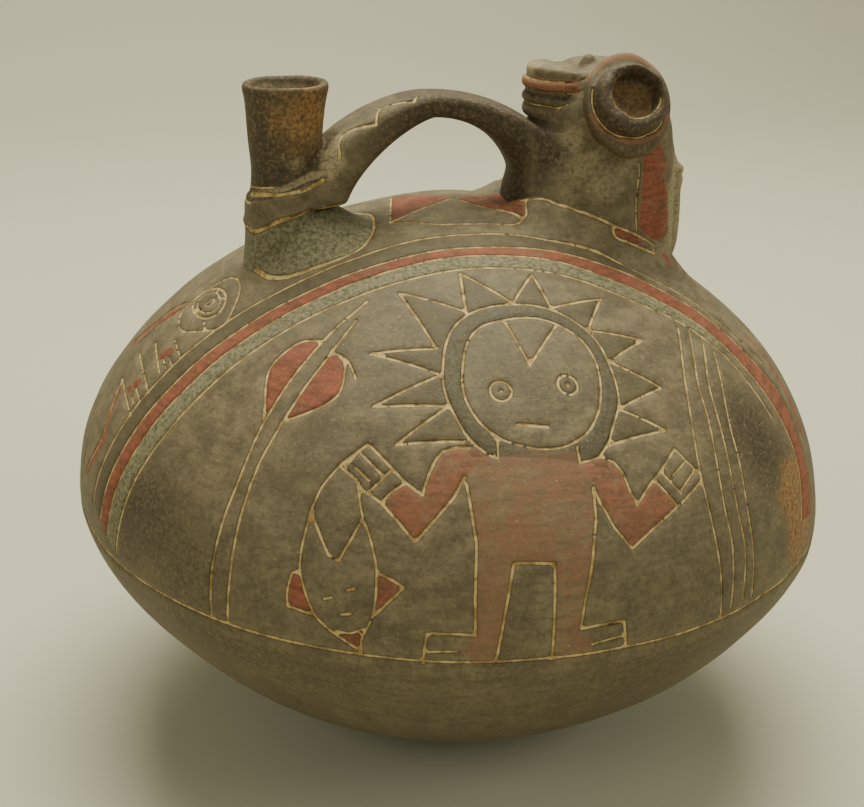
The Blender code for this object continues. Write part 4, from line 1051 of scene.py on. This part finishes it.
# Spout, bridge and head
# The spout is a turned tube, the bridge a flat strap of clay, the head a hollow column with a pressed
# muzzle and a ringed disc on each side. All were joined wet: the joins are smeared with a finger, so the
# forms are made one by one, joined by a fine remesh, and then softened, most of all where they meet.
SPOUT_PROFILE = ((10.3, 128.5), (10.35, 137.0), (9.9, 143.0), (8.8, 150.0), (8.6, 155.0), (9.1, 161.0),
                 (9.5, 167.0), (10.0, 172.0), (10.6, 175.2), (10.3, 176.3), (9.4, 176.5), (8.3, 175.7),
                 (7.3, 172.5), (6.1, 168.0), (5.6, 163.0), (5.6, 150.0), (5.6, 128.5))
COLLAR_PROFILE = ((7.5, 0.2), (9.9, 0.1), (10.7, 0.7), (10.75, 1.6), (10.4, 2.6), (10.3, 5.4), (10.2, 6.3),
                  (9.5, 7.0), (7.5, 7.1))
COLLAR_BOTTOM = 144.3
COLLAR_SLOPE_LOW, COLLAR_SLOPE_HIGH = 0.40, 0.32
COLLAR_SLOPE = (COLLAR_SLOPE_LOW + COLLAR_SLOPE_HIGH) / 2
COLLAR_HEIGHT, COLLAR_FOOT_HEIGHT = 7.0, 144.7
STRAP_START, STRAP_END = -36.3, 20.4
STRAP_CROWN = 170.4
STRAP_WIDTH, SPOUT_SPREAD, HEAD_SPREAD = 12.6, 10.0, 22.0  # at the crown, and how much wider at each end
STRAP_THICKNESS, SPOUT_SWELL, HEAD_SWELL = 6.0, 7.0, 6.0
STRAP_WRAP = 13.0
STRAP_SPRING_SPOUT, STRAP_SPRING_HEAD = 147.8, 144.0
HEAD_FOOT, HEAD_HEIGHT = 128.0, 55.0
NECK_RINGS = ((-0.02, 0.0, 1.0, 1.02), (0.22, 0.0, 0.98, 1.0), (0.40, 0.01, 0.95, 0.95),
              (0.53, 0.03, 0.87, 0.90), (0.66, 0.05, 0.79, 0.86), (0.77, 0.04, 0.72, 0.84),
              (0.84, 0.06, 0.60, 0.78), (0.91, 0.03, 0.50, 0.64), (0.95, 0.0, 0.36, 0.46),
              (0.968, -0.02, 0.18, 0.22))
MUZZLE_TIP, MUZZLE_LENGTH, MUZZLE_RADIUS = 16.6, 22.0, 9.5
MUZZLE_RINGS = ((0.692, 3.6), (0.702, 1.4), (0.718, 0.3), (0.742, 0.0), (0.762, 0.5), (0.772, 0.5),
                (0.785, -0.1), (0.81, 0.2), (0.820, 1.9), (0.827, 1.9), (0.836, 0.2), (0.850, -0.2),
                (0.868, -0.3), (0.884, 0.1), (0.892, 1.0), (0.899, 1.1), (0.914, 0.7), (0.940, 1.3),
                (0.955, 4.2))
DISC_CENTRE = (38.5, -16.6, 172.3)
DISC_FACING = (-0.074, -0.819, 0.523)
DISC_RADIUS, DISC_HEIGHT = 13.7, 6.4
DISC_ROUND_RADIUS, FLANGE_NARROWING = 9.6, 0.3
HOLLOW_SHIFT = (1.0, 0.9)
DISC_PROFILE = ((0.0, 0.14), (0.29, 0.15), (0.40, 0.34), (0.43, 0.80), (0.475, 1.0), (0.555, 1.06),
                (0.635, 0.93), (0.675, 0.62), (0.69, 0.42), (0.75, 0.36), (0.88, 0.34), (0.97, 0.24),
                (1.0, 0.0), (0.90, -0.45), (0.50, -1.4), (0.0, -1.4))
FAR_DISC_CENTRE = (34.25, 14.8, 165.4)
FAR_DISC_FACING = (0.20, 0.97, 0.05)
FAR_DISC_RADIUS, FAR_DISC_HEIGHT = 9.5, 3.96
FAR_DISC_PROFILE = ((0.0, 0.35), (0.35, 0.38), (0.50, 0.50), (0.58, 0.92), (0.70, 1.0), (0.82, 0.90),
                    (0.95, 0.5), (1.0, 0.1), (1.0, -0.5), (0.6, -2.0), (0.0, -2.0))
RIDGE_RINGS = ((0.0, 0.935, 1.8), (0.08, 0.955, 2.1), (0.22, 0.96, 2.1), (0.32, 0.955, 2.0),
               (0.362, 0.955, 2.1), (0.385, 0.955, 2.2), (0.40, 0.955, 2.1), (0.41, 0.955, 1.95),
               (0.425, 0.955, 2.1), (0.445, 0.953, 2.2), (0.465, 0.945, 1.6), (0.50, 0.925, 1.2),
               (0.56, 0.90, 1.0), (0.64, 0.86, 0.9), (0.76, 0.80, 0.7))
RIDGE_HALF_WIDTH = 11.3
NUB = (32.0, -3.5, 181.2, 2.0)
DIP_X, DIP_WIDTH, DIP_DEPTH = 28.0, 3.2, 1.5
VOXEL, FORM_SNAP = 0.5, 0.52
FORM_GROOVE_DEPTH, FORM_GROOVE_HALF_WIDTH = 0.30, 0.7
RUBBED_WEAR = -0.14
# round places, each x, y, z, radius and strength: where the joins were smeared, and what fire and wear left
JOIN_PLACES = ((-34.0, 0.0, 152.0, 7.0, 1.0), (-34.0, 0.0, 145.0, 7.0, 0.7), (21.0, -12.0, 148.0, 9.0, 1.0),
               (21.0, 12.0, 148.0, 9.0, 1.0), (17.0, 0.0, 152.0, 9.0, 1.0))
FORM_SOOT_PLACES = ((18.0, -9.5, 164.0, 3.0, 0.9), (20.5, -11.9, 162.0, 2.8, 0.9),
                    (23.4, -13.5, 159.2, 2.6, 0.9), (26.2, -15.2, 156.6, 2.3, 0.85),
                    (28.6, -16.4, 153.8, 2.0, 0.6), (19.5, -12.0, 157.0, 3.5, 0.7),
                    (18.5, -12.0, 151.5, 3.0, 0.5), (50.5, -14.5, 149.5, 2.6, 0.9),
                    (51.0, -14.5, 144.0, 2.4, 0.6), (50.0, -14.8, 139.5, 2.8, 0.8),
                    (21.5, -7.0, 167.0, 3.0, 0.5))
FORM_CHALK_PLACES = ((-33.8, -8.0, 158.5, 3.4, 1.2), (-31.5, -5.5, 162.0, 2.6, 1.0),
                     (-35.0, -9.5, 156.0, 2.2, 0.9), (-47.0, -9.0, 160.0, 4.0, 0.35),
                     (-43.0, -9.0, 158.0, 4.0, 0.35), (17.5, 0.0, 179.0, 5.0, 0.8),
                     (24.0, -14.0, 163.0, 5.0, 0.25), (31.0, -18.0, 155.0, 14.0, 0.50),
                     (60.0, -4.0, 150.0, 7.0, 1.4), (60.0, -4.0, 138.0, 8.0, 1.4),
                     (25.0, -6.0, 180.0, 5.0, 0.4), (58.0, -8.0, 144.0, 10.0, 0.5))
GLOW_PLACE, GLOW_SIZE = (-41.0, -9.5, 169.0), (8.5, 9.0, 8.5)


def soft_profile(profile, rounded, closed=False):
    """The profile's points joined by Catmull-Rom runs of a few steps each."""
    p = with_neighbours(profile, closed)
    share = np.linspace(0.0, 1.0, rounded, endpoint=False)[None, :, None]
    line = cubic(p[:-3, None], p[1:-2, None], p[2:-1, None], p[3:, None], share).reshape(-1, p.shape[1])
    return line if closed else np.concatenate([line, p[-2:-1]])


def turned(profile, sides=72, closed=False, rounded=6):
    """A profile of radius and height, smoothed, turned round the z axis. An open one ends on the axis."""
    radius, height = soft_profile(profile, rounded, closed).T[..., None]
    angle = np.linspace(0.0, 2 * math.pi, sides, endpoint=False)
    return np.stack([radius * np.cos(angle), radius * np.sin(angle), height + 0 * angle], -1)


def rounded_oval(sides, power):
    """Cosine and sine raised to 2 / power: a circle squared off as the power grows."""
    angle = 2 * math.pi * (np.arange(sides) + 0.5) / sides
    c, s = np.cos(angle), np.sin(angle)
    return np.sign(c) * np.abs(c) ** (2 / power), np.sign(s) * np.abs(s) ** (2 / power)


def spout_skin():
    """The tube: outside, over the lip and down the bore, its rim dipping a little at the front."""
    rings = turned(SPOUT_PROFILE, closed=True)
    angle = np.arctan2(rings[..., 1], rings[..., 0])
    top = np.clip((rings[..., 2] - 168.0) / 8.0, 0.0, 1.0)
    rings[..., 2] += top * (0.25 * np.sin(angle + 2.0) + 0.10 * np.sin(3 * angle + 0.6)
                            + 0.05 * np.sin(7 * angle))
    widen = 1 + 0.012 * np.sin(2 * angle + 0.7) + 0.008 * np.sin(rings[..., 2] / 3.0 + angle)
    rings[..., :2] *= widen[..., None]
    rings[..., 0] += SPOUT_X
    rings[..., 1] += SPOUT_Y
    return skin(rings, tube=True)


def collar_skin():
    """A band round the spout: each ring of its profile tilts up toward the bridge."""
    rings = turned(COLLAR_PROFILE)
    share = rings[..., 2] / COLLAR_HEIGHT
    slope = COLLAR_SLOPE_LOW + (COLLAR_SLOPE_HIGH - COLLAR_SLOPE_LOW) * share
    rings[..., 2] += COLLAR_BOTTOM + slope * rings[..., 0]
    rings[..., 0] += SPOUT_X
    rings[..., 1] += SPOUT_Y
    return skin(rings)


def strap_station(angle):
    """Centre, half width and half thickness of the strap at angles along its arch."""
    c = np.cos(angle)
    share = np.abs(c)
    to_spout = c < 0
    power = np.where(to_spout, 1.5, 2.1)
    spring = np.where(to_spout, STRAP_SPRING_SPOUT, STRAP_SPRING_HEAD)
    x = (STRAP_START + STRAP_END) / 2 + (STRAP_END - STRAP_START) / 2 * c
    z = spring + (STRAP_CROWN - spring) * np.maximum(0.0, 1.0 - share ** power) ** (1.0 / power)
    width = STRAP_WIDTH + np.where(to_spout, SPOUT_SPREAD * share, HEAD_SPREAD * share ** 3)
    thickness = STRAP_THICKNESS + np.where(to_spout, SPOUT_SWELL * share, HEAD_SWELL * share ** 2)
    return x, z, width / 2, thickness / 2


def strap_skin():
    """Flat rounded sections set square to the arch, from the collar to the neck, which it wraps round."""
    angle = np.pi * (1 - np.linspace(0.0, 1.0, 91))
    x, z, half_width, half_thickness = strap_station(angle)
    along = unit(np.stack([np.gradient(x), np.gradient(z)], 1))
    u, v = rounded_oval(48, 2.0)
    u = np.sign(u) * np.abs(u) ** 0.45
    v = np.sign(v) * np.abs(v) ** 0.6
    wrap = STRAP_WRAP * np.maximum(0.0, np.cos(angle)) ** 3
    lift = half_thickness[:, None] * v
    rings = np.stack([x[:, None] + wrap[:, None] * u ** 2 - along[:, 1:] * lift, half_width[:, None] * u,
                      z[:, None] + along[:, :1] * lift], -1)
    spout_root = rings[:1] - (6.0, 0.0, 1.0)
    head_root = rings[-1:] - (0.0, 0.0, 4.5)
    return skin(np.concatenate([spout_root, rings, head_root])[:, ::-1])


def column_skin(shares, centre, half_length, half_width, foot, height, power, sides=96):
    """A column of rounded ovals: each row is height, step sideways, length and width, as shares."""
    up, forward, long, wide = soft_profile(shares, 8).T[..., None]
    u, v = rounded_oval(sides, power)
    return skin(np.stack([centre + forward * 2 * half_length + long * half_length * u,
                          wide * half_width * v, foot + up * height + 0 * u], -1))


def ridge_skin():
    """The strip down the back of the neck: a column of small ovals on its rear edge."""
    up, back, bulge = soft_profile(RIDGE_RINGS, 6).T[..., None]
    u, v = rounded_oval(32, 2.0)
    return skin(np.stack([HEAD_X + back * HEAD_LENGTH / 2 + 1.9 * bulge * u, 3.0 * (0.7 + 0.3 * bulge) * v,
                          HEAD_FOOT + up * HEAD_HEIGHT + 0 * u], -1))


def muzzle_skin():
    """Nose over two lips: a half-round outline, drawn in by a different amount at each height."""
    up, inset = soft_profile(MUZZLE_RINGS, 6).T[..., None]
    angle = np.linspace(math.pi / 2, 3 * math.pi / 2, 48)
    radius = MUZZLE_RADIUS - inset
    height = HEAD_FOOT + up * HEAD_HEIGHT
    front_x = MUZZLE_TIP + MUZZLE_RADIUS + radius * np.cos(angle)
    front_y = radius * np.sin(angle)
    back_x = np.full((len(up), 2), MUZZLE_TIP + MUZZLE_LENGTH)
    back_y = np.concatenate([-radius, radius], 1)
    x, y = np.concatenate([front_x, back_x], 1), np.concatenate([front_y, back_y], 1)
    return skin(np.stack([x, y, height + 0 * x], -1))


def facing_turn(facing):
    """Rows of a turn that carries the z axis to a direction."""
    ahead = unit(facing)
    side = unit(np.cross((0.0, 0.0, 1.0), ahead))
    return np.stack([side, np.cross(ahead, side), ahead])


def disc_skin(profile, radius, height, centre, facing, round_radius, narrowing, hollow_shift):
    """A turned boss, set on the side of the head and turned to face outward. Beyond its round part
    the width grows by only a share of the height, which makes an upright oval; its hollow sits off
    centre, so its ring is wider on one side."""
    rings = turned(np.asarray(profile) * (radius, height), rounded=4)
    angle = np.arctan2(rings[..., 1], rings[..., 0])
    reach = np.maximum(np.hypot(rings[..., 0], rings[..., 1]), 1e-6)
    rings[..., 0] *= 1.0 - (1.0 - narrowing) * np.clip(reach - round_radius, 0.0, None) / reach
    rings[..., :2] += fades(reach / radius, 0.42, 0.64)[..., None] * hollow_shift
    rings[..., 2] += radius * (0.02 * np.sin(2 * angle + 0.8) + 0.015 * np.sin(5 * angle)
                               + 0.010 * np.sin(9 * angle + 2.0))
    rings = rings @ facing_turn(facing) + centre
    return skin(rings[::-1])


def nub_skin():
    """A small ball of clay on the crown of the head."""
    rise = np.linspace(-1.3, 1.3, 9)[:, None]
    angle = np.linspace(0.0, 2 * math.pi, 24, endpoint=False)
    x, y, z, radius = NUB
    flat = radius * np.cos(rise)
    return skin(np.stack([x + flat * np.cos(angle), y + flat * np.sin(angle),
                          z + radius * np.sin(rise) + 0 * angle], -1))


def upper_forms():
    """The spout, collar, strap, neck, muzzle, ridge, crown ball and two discs, each closed by itself."""
    neck = column_skin(NECK_RINGS, HEAD_X, HEAD_LENGTH / 2, HEAD_WIDTH / 2, HEAD_FOOT, HEAD_HEIGHT, 2.3)
    return [
        spout_skin(), collar_skin(), strap_skin(), neck, muzzle_skin(), ridge_skin(), nub_skin(),
        disc_skin(DISC_PROFILE, DISC_RADIUS, DISC_HEIGHT, DISC_CENTRE, DISC_FACING, DISC_ROUND_RADIUS,
                  FLANGE_NARROWING, HOLLOW_SHIFT),
        disc_skin(FAR_DISC_PROFILE, FAR_DISC_RADIUS, FAR_DISC_HEIGHT, FAR_DISC_CENTRE, FAR_DISC_FACING,
                  FAR_DISC_RADIUS, 1.0, (0.0, 0.0)),
    ]


def joined_forms(forms):
    """All forms in one mesh, joined by a voxel remesh; returns corners in mm and squares."""
    starts = np.cumsum([0] + [len(points) for points, _ in forms[:-1]])
    points = np.concatenate([points for points, _ in forms])
    faces = np.concatenate([faces + start for (_, faces), start in zip(forms, starts)])
    rough_mesh = link_mesh("forms", points * MM, faces)
    remesh = rough_mesh.modifiers.new("join", "REMESH")
    remesh.mode = "VOXEL"
    remesh.voxel_size = VOXEL * MM
    remesh.adaptivity = 0.0
    depsgraph = bpy.context.evaluated_depsgraph_get()
    mesh = rough_mesh.evaluated_get(depsgraph).to_mesh()
    corners = np.empty(len(mesh.vertices) * 3, np.float32)
    mesh.vertices.foreach_get("co", corners)
    squares = np.empty(len(mesh.loops), np.int32)
    mesh.loops.foreach_get("vertex_index", squares)
    sizes = np.empty(len(mesh.polygons), np.int32)
    mesh.polygons.foreach_get("loop_total", sizes)
    assert (sizes == 4).all()
    bpy.data.objects.remove(rough_mesh)
    return corners.reshape(-1, 3).astype(float) / MM, squares.reshape(-1, 4)


def softened(points, squares, strength, rounds):
    """Each corner moves toward the mean of its neighbours by its own strength, some rounds over."""
    start, end = squares.T.ravel(), np.roll(squares, -1, axis=1).T.ravel()
    count = np.bincount(start, minlength=len(points))[:, None]
    for _ in range(rounds):
        total = np.stack([np.bincount(start, points[end, axis], len(points)) for axis in range(3)], 1)
        points = points + strength[:, None] * (total / count - points)
    return points


def both_sides(line):
    """A line and its mirror on the far side."""
    line = np.asarray(line, float)
    return [line, line * (1.0, -1.0, 1.0)]


def round_muzzle(height, reach=26.0):
    """A level line round the muzzle, from cheek to cheek."""
    angle = np.linspace(math.pi / 2, 3 * math.pi / 2, 40)
    x, y = MUZZLE_TIP + MUZZLE_RADIUS * (1 + np.cos(angle)), MUZZLE_RADIUS * np.sin(angle)
    x, y = np.concatenate([[reach + 4], x, [reach + 4]]), np.concatenate([[y[0]], y, [y[-1]]])
    return np.stack([x, y, np.full(len(x), height)], 1)


def round_disc(share, centre, facing, radius, lift, start=0.0, end=360.0, shift=(0.0, 0.0)):
    """An arc on a disc at a share of its radius, set off its centre by a shift; 90 degrees is its top."""
    angle = np.radians(np.linspace(start, end, 60))
    flat = np.stack([shift[0] + share * radius * np.cos(angle), shift[1] + share * radius * np.sin(angle),
                     np.full(60, lift)], 1)
    return flat @ facing_turn(facing) + centre


def round_spout(start, end, high):
    """A line round the spout between two bearings that climbs toward the bridge."""
    angle = np.radians(np.linspace(start, end, 50))
    x, y = 11.0 * np.cos(angle), 11.0 * np.sin(angle)
    return np.stack([SPOUT_X + x, SPOUT_Y + y, high + COLLAR_SLOPE * x], 1)


STRAP_ZIGZAG = ((-32.9, -9.3, 158.6), (-31.0, -5.7, 163.7), (-23.4, -7.8, 166.7), (-21.4, -3.8, 169.6),
                (-13.4, -5.7, 171.6), (-12.3, -4.0, 172.2))
NECK_UPRIGHT = ((43.1, -16.1, 157.5), (43.5, -16.3, 155.4), (42.9, -17.1, 149.4), (43.0, -17.6, 144.3),
                (43.4, -17.7, 140.2))
RED_PANEL = ((44.3, 157.4), (44.9, 164.8), (47.5, 166.5), (52.6, 156.3), (51.6, 152.0), (53.2, 148.0),
             (54.2, 138.3), (52.3, 136.4), (48.6, 137.0), (45.9, 139.0), (43.8, 141.1))
COLLAR_TOP_LINE = ((-53.9, -3.1, 149.1), (-50.6, -8.3, 150.1), (-47.7, -10.3, 150.5), (-42.9, -11.1, 151.5),
                   (-38.4, -9.8, 152.8), (-37.0, -10.0, 153.8))
CRUST_LINE = ((-53.8, -0.3, 150.4), (-51.7, -7, 151.5), (-49, -9, 152))
COLLAR_FOOT_LINE = ((-54.8, -5, 140.4), (-53.1, -7.8, 140.9), (-50.9, -10.1, 142.4),
                    (-47.9, -11.7, 144.3), (-44.3, -11.9, 145.3), (-39.8, -10.8, 146.1),
                    (-35.3, -10.8, 147.2), (-32.3, -10.5, 147.8))
# each line on these forms with its half width in mm and how much of the pale earth is left in it
form_lines = [
    (spline(COLLAR_TOP_LINE), 0.55, 0.95),
    (spline(CRUST_LINE), 0.26, 0.9),
    (spline(COLLAR_FOOT_LINE), 0.55, 1.0),
    (round_spout(20.0, 200.0, 151.3), 0.34, 0.8),
    (round_spout(20.0, 200.0, COLLAR_FOOT_HEIGHT), 0.40, 0.8),
    (straight(STRAP_ZIGZAG), 0.36, 0.8),
    (round_muzzle(177.3), 0.26, 0.8),
    (round_muzzle(173.9), 0.22, 0.4),
    (round_muzzle(170.3, 19.0), 0.22, 0.7),
    (round_disc(0.44, DISC_CENTRE, DISC_FACING, DISC_RADIUS, 5.6, 130, 350, HOLLOW_SHIFT), 0.36, 0.9),
    (round_disc(0.71, DISC_CENTRE, DISC_FACING, DISC_RADIUS, 2.6, 160, 330), 0.20, 0.5),
    (round_disc(0.50, FAR_DISC_CENTRE, FAR_DISC_FACING, FAR_DISC_RADIUS, 2.4), 0.30, 0.8),
]
form_lines += [(line, 0.26, 0.6) for line in both_sides(spline(NECK_UPRIGHT))]


def on_surface(line, tree):
    """A drawn line moved onto the nearest points of the clay."""
    return np.array([tuple(tree.find_nearest(Vector(point))[0]) for point in line])


def flat_area(points, outline):
    """Signed distance, seen from the side, to an outline given in x and z."""
    flat = points[:, [0, 2]]
    loop = np.asarray(outline + outline[:1], float)
    return signed(near_line(flat, loop)[0], enclosed(flat, loop))


def within(value, low, high):
    """Signed distance to a range of values, negative inside it."""
    return np.maximum(low - value, value - high)


def on_disc(points, centre, facing):
    """Distance from a disc's axis, height in its plane and height off it."""
    local = (points - centre) @ facing_turn(facing).T
    return np.hypot(local[:, 0], local[:, 1]), local[:, 1], local[:, 2]


def form_red(points):
    """Red paint: the upper lip, the disc's flange above, a thin arc below its ring, and the panel
    behind the neck's line."""
    x, y, z = points.T
    lip = [within(z, 174.0, 177.2), within(x, 12.0, 28.0), np.abs(y) - 12.0]
    rho, high, off = on_disc(points, DISC_CENTRE, DISC_FACING)
    from_nub = np.linalg.norm(points - NUB[:3], axis=1)
    flange = [within(rho, 11.3, 13.2), within(off, -1.2, 5.0), 4.0 - high, 3.2 - from_nub]
    under = [within(rho, 9.8, 10.9), within(off, -2.5, 5.0), high + 3.0]
    panel = np.maximum(flat_area(points, RED_PANEL), RIDGE_HALF_WIDTH - np.abs(y))
    rubbed = np.minimum.reduce([np.maximum.reduce(limits) for limits in (lip, flange, under)])
    return np.minimum(np.maximum(rubbed, RUBBED_WEAR), panel)


def cut_in(points, squares, lines):
    """Moves the corners nearest the drawn lines onto them, splits the squares along the lines and sinks
    the lines as notches. Returns corners, triangles, outward directions, the lines' edges and fill."""
    nearest, move, fill = nearest_line(lines, lambda line: near_line(points, line), points)
    snapped = nearest < FORM_SNAP * VOXEL
    points = points + np.where(snapped[:, None], move, 0.0)
    line_edge, line_middle = np.full((2, len(points)), REACH)
    for line, half_width, _ in lines:
        distance, _ = near_line(points, line)
        line_edge = np.minimum(line_edge, distance - half_width)
        line_middle = np.minimum(line_middle, distance)
    on_line = snapped[squares]
    other = (on_line[:, 1] & on_line[:, 3]) & ~(on_line[:, 0] & on_line[:, 2])
    corner = np.where(other[:, None], squares[:, [1, 2, 3, 0]], squares)
    triangles = np.concatenate([corner[:, [0, 1, 2]], corner[:, [0, 2, 3]]])
    a, b, c = points[triangles].transpose(1, 0, 2)
    facing = np.cross(b - a, c - a)
    normal = unit(np.stack([sum(np.bincount(row, facing[:, axis], len(points)) for row in triangles.T)
                            for axis in range(3)], 1))
    notch = FORM_GROOVE_DEPTH * np.clip(1.0 - line_middle / FORM_GROOVE_HALF_WIDTH, 0.0, 1.0)
    return points - normal * notch[:, None], triangles, normal, line_edge, fill


def by_spout(points):
    """Distance from the spout's axis, how far a point belongs to the spout, and its height above the
    tilted foot of the collar."""
    x, y, z = points.T
    from_spout = np.hypot(x - SPOUT_X, y - SPOUT_Y)
    above_foot = z - COLLAR_FOOT_HEIGHT - COLLAR_SLOPE * (x - SPOUT_X)
    return from_spout, fades(from_spout, 11.5, 15.0), above_foot


def form_wear_and_shade(points, normal):
    """What the fire and use left, and painted shade: sooty darkening on the spout, the strap's crown, under
    the strap and on the disc, a darker lower lip, a rusty glow on the spout and in the disc's hollow, and
    pale dust in the joins and on the edges. The strap's sides and underside, the slit between the lips and
    the bore deeper down are darkened as painted shade."""
    x, y, z = points.T
    from_spout, on_spout, above_foot = by_spout(points)
    outside = ramp_between(from_spout, 7.6, 8.4)
    above_collar = ramp_between(above_foot, 0.2, 0.8)
    on_collar = above_collar * fades(above_foot, 6.2, 6.8)
    in_mouth = on_spout * (1.0 - outside)
    on_strap = ramp_between(x, -38.0, -34.0) * fades(x, 13.0, 19.0)
    # Painted shade: the strap's sides and underside, facing away from the light above, are darkened, on
    # clay that is also dark brown toward the head.
    strap_side_shade = on_strap * fades(normal[:, 2], 0.25, 0.55) * ramp_between(x, -40.0, -8.0)
    strap_crown = ramp_between(x, -16.0, -6.0) * fades(x, 14.0, 19.0)
    strap_crown *= ramp_between(z, 150.0, 156.0) * fades(np.abs(y), 12.0, 15.0)
    rho, high, off = on_disc(points, DISC_CENTRE, DISC_FACING)
    on_ring = fades(rho, 9.4, 10.2) * ramp_between(off, 0.5, 2.0)
    in_hollow = fades(rho, 5.6, 6.6) * ramp_between(off, -1.0, 0.5)
    on_flange = ramp_between(rho, 9.4, 10.2) * fades(rho, 13.5, 15.0)
    on_flange *= ramp_between(off, -3.0, -1.5) * fades(high, 6.0, 9.0)
    on_muzzle = fades(x, 27.0, 29.0) * fades(np.abs(y), 11.0, 12.0)
    # Painted shade in the slit between the lips, and the lower lip's own darker tone below it.
    mouth_slit_shade_and_lower_lip = 0.9 * np.exp(-((z - 172.9) / 0.7) ** 2)
    mouth_slit_shade_and_lower_lip += 0.45 * ramp_between(z, 166.0, 168.0) * fades(z, 172.0, 173.0)

    glow = np.exp(-(((points - GLOW_PLACE) / GLOW_SIZE) ** 2).sum(1))
    rust = np.maximum.reduce([
        on_spout * above_collar * np.clip(0.62 * glow + 0.26 * ramp_between(z, 150.0, 162.0), 0.0, 1.0),
        0.45 * strap_crown * fades(x, -14.0, -2.0), 0.55 * in_hollow])
    umber = np.maximum.reduce([
        on_spout * above_collar * outside * (1.0 - 0.65 * glow) * (1.0 - on_collar),
        # painted shade: the bore darker the deeper it goes
        0.35 * in_mouth * fades(z, 164.0, 172.0),
        strap_side_shade, 0.85 * strap_crown, 0.85 * on_ring, 0.40 * in_hollow, 0.6 * on_flange,
        on_muzzle * mouth_slit_shade_and_lower_lip, patches(points, FORM_SOOT_PLACES)])
    crust = on_spout * ramp_between(above_foot, 6.6, 7.4) * fades(above_foot, 8.0, 10.0)
    rim_top = on_spout * ramp_between(normal[:, 2], 0.3, 0.7) * ramp_between(z, 174.5, 175.5)
    chalk = np.maximum.reduce([
        patches(points, FORM_CHALK_PLACES), 0.75 * crust * fades(y, -6.0, 1.0),
        0.2 * rim_top, 0.6 * in_mouth * ramp_between(z, 166.0, 172.0)])
    wear_and_shade = {"umber": umber, "rust": rust, "chalk": chalk}
    return {name: np.clip(value, 0.0, 1.0) for name, value in wear_and_shade.items()}


def form_painted_shade(points):
    """Painted shade in the slit between the lips and under the jaw, below the lower one."""
    x, y, z = points.T
    between = np.maximum.reduce([within(z, 172.5, 173.4), within(x, 12.0, 30.0), np.abs(y) - 14.0])
    below = np.maximum.reduce([within(z, 164.5, 166.8), within(x, 12.0, 28.0), np.abs(y) - 12.0])
    return np.minimum(between, below)


def form_green(points):
    """Grey-green paint: the foot of the spout, up to the collar."""
    _, on_spout, above_foot = by_spout(points)
    below_collar = on_spout * (1.0 - ramp_between(above_foot, 0.2, 0.8))
    return np.where(below_collar > 0.5, -1.0, REACH)


points, squares = joined_forms(upper_forms())
points = softened(points, squares, np.full(len(points), 0.4), 2)
x, y, z = points.T
dip = np.exp(-((x - DIP_X) / DIP_WIDTH) ** 2) * ramp_between(z, 175.5, 179.0)
points[:, 2] -= DIP_DEPTH * dip * fades(np.abs(y), 6.0, 10.0)
points = softened(points, squares, 0.5 * np.clip(patches(points, JOIN_PLACES), 0.0, 1.0), 40)
clay_tree = BVHTree.FromPolygons(points.tolist(), squares.tolist())
form_lines = [(on_surface(line, clay_tree), half_width, left) for line, half_width, left in form_lines]
points, triangles, normal, line_edge, fill = cut_in(points, squares, form_lines)
upper = link_mesh("spout_bridge_and_head", points * MM, triangles)
# Here the dark value is painted shade between the lips and under the jaw.
keep_values(upper, line=line_edge, fill=fill, red=form_red(points), green=form_green(points),
            dark=form_painted_shade(points), ring=np.full(len(points), REACH))
keep_values(upper, **form_wear_and_shade(points, normal))
upper.data.materials.append(painted_clay)
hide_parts("bottle")
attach(upper, "root")
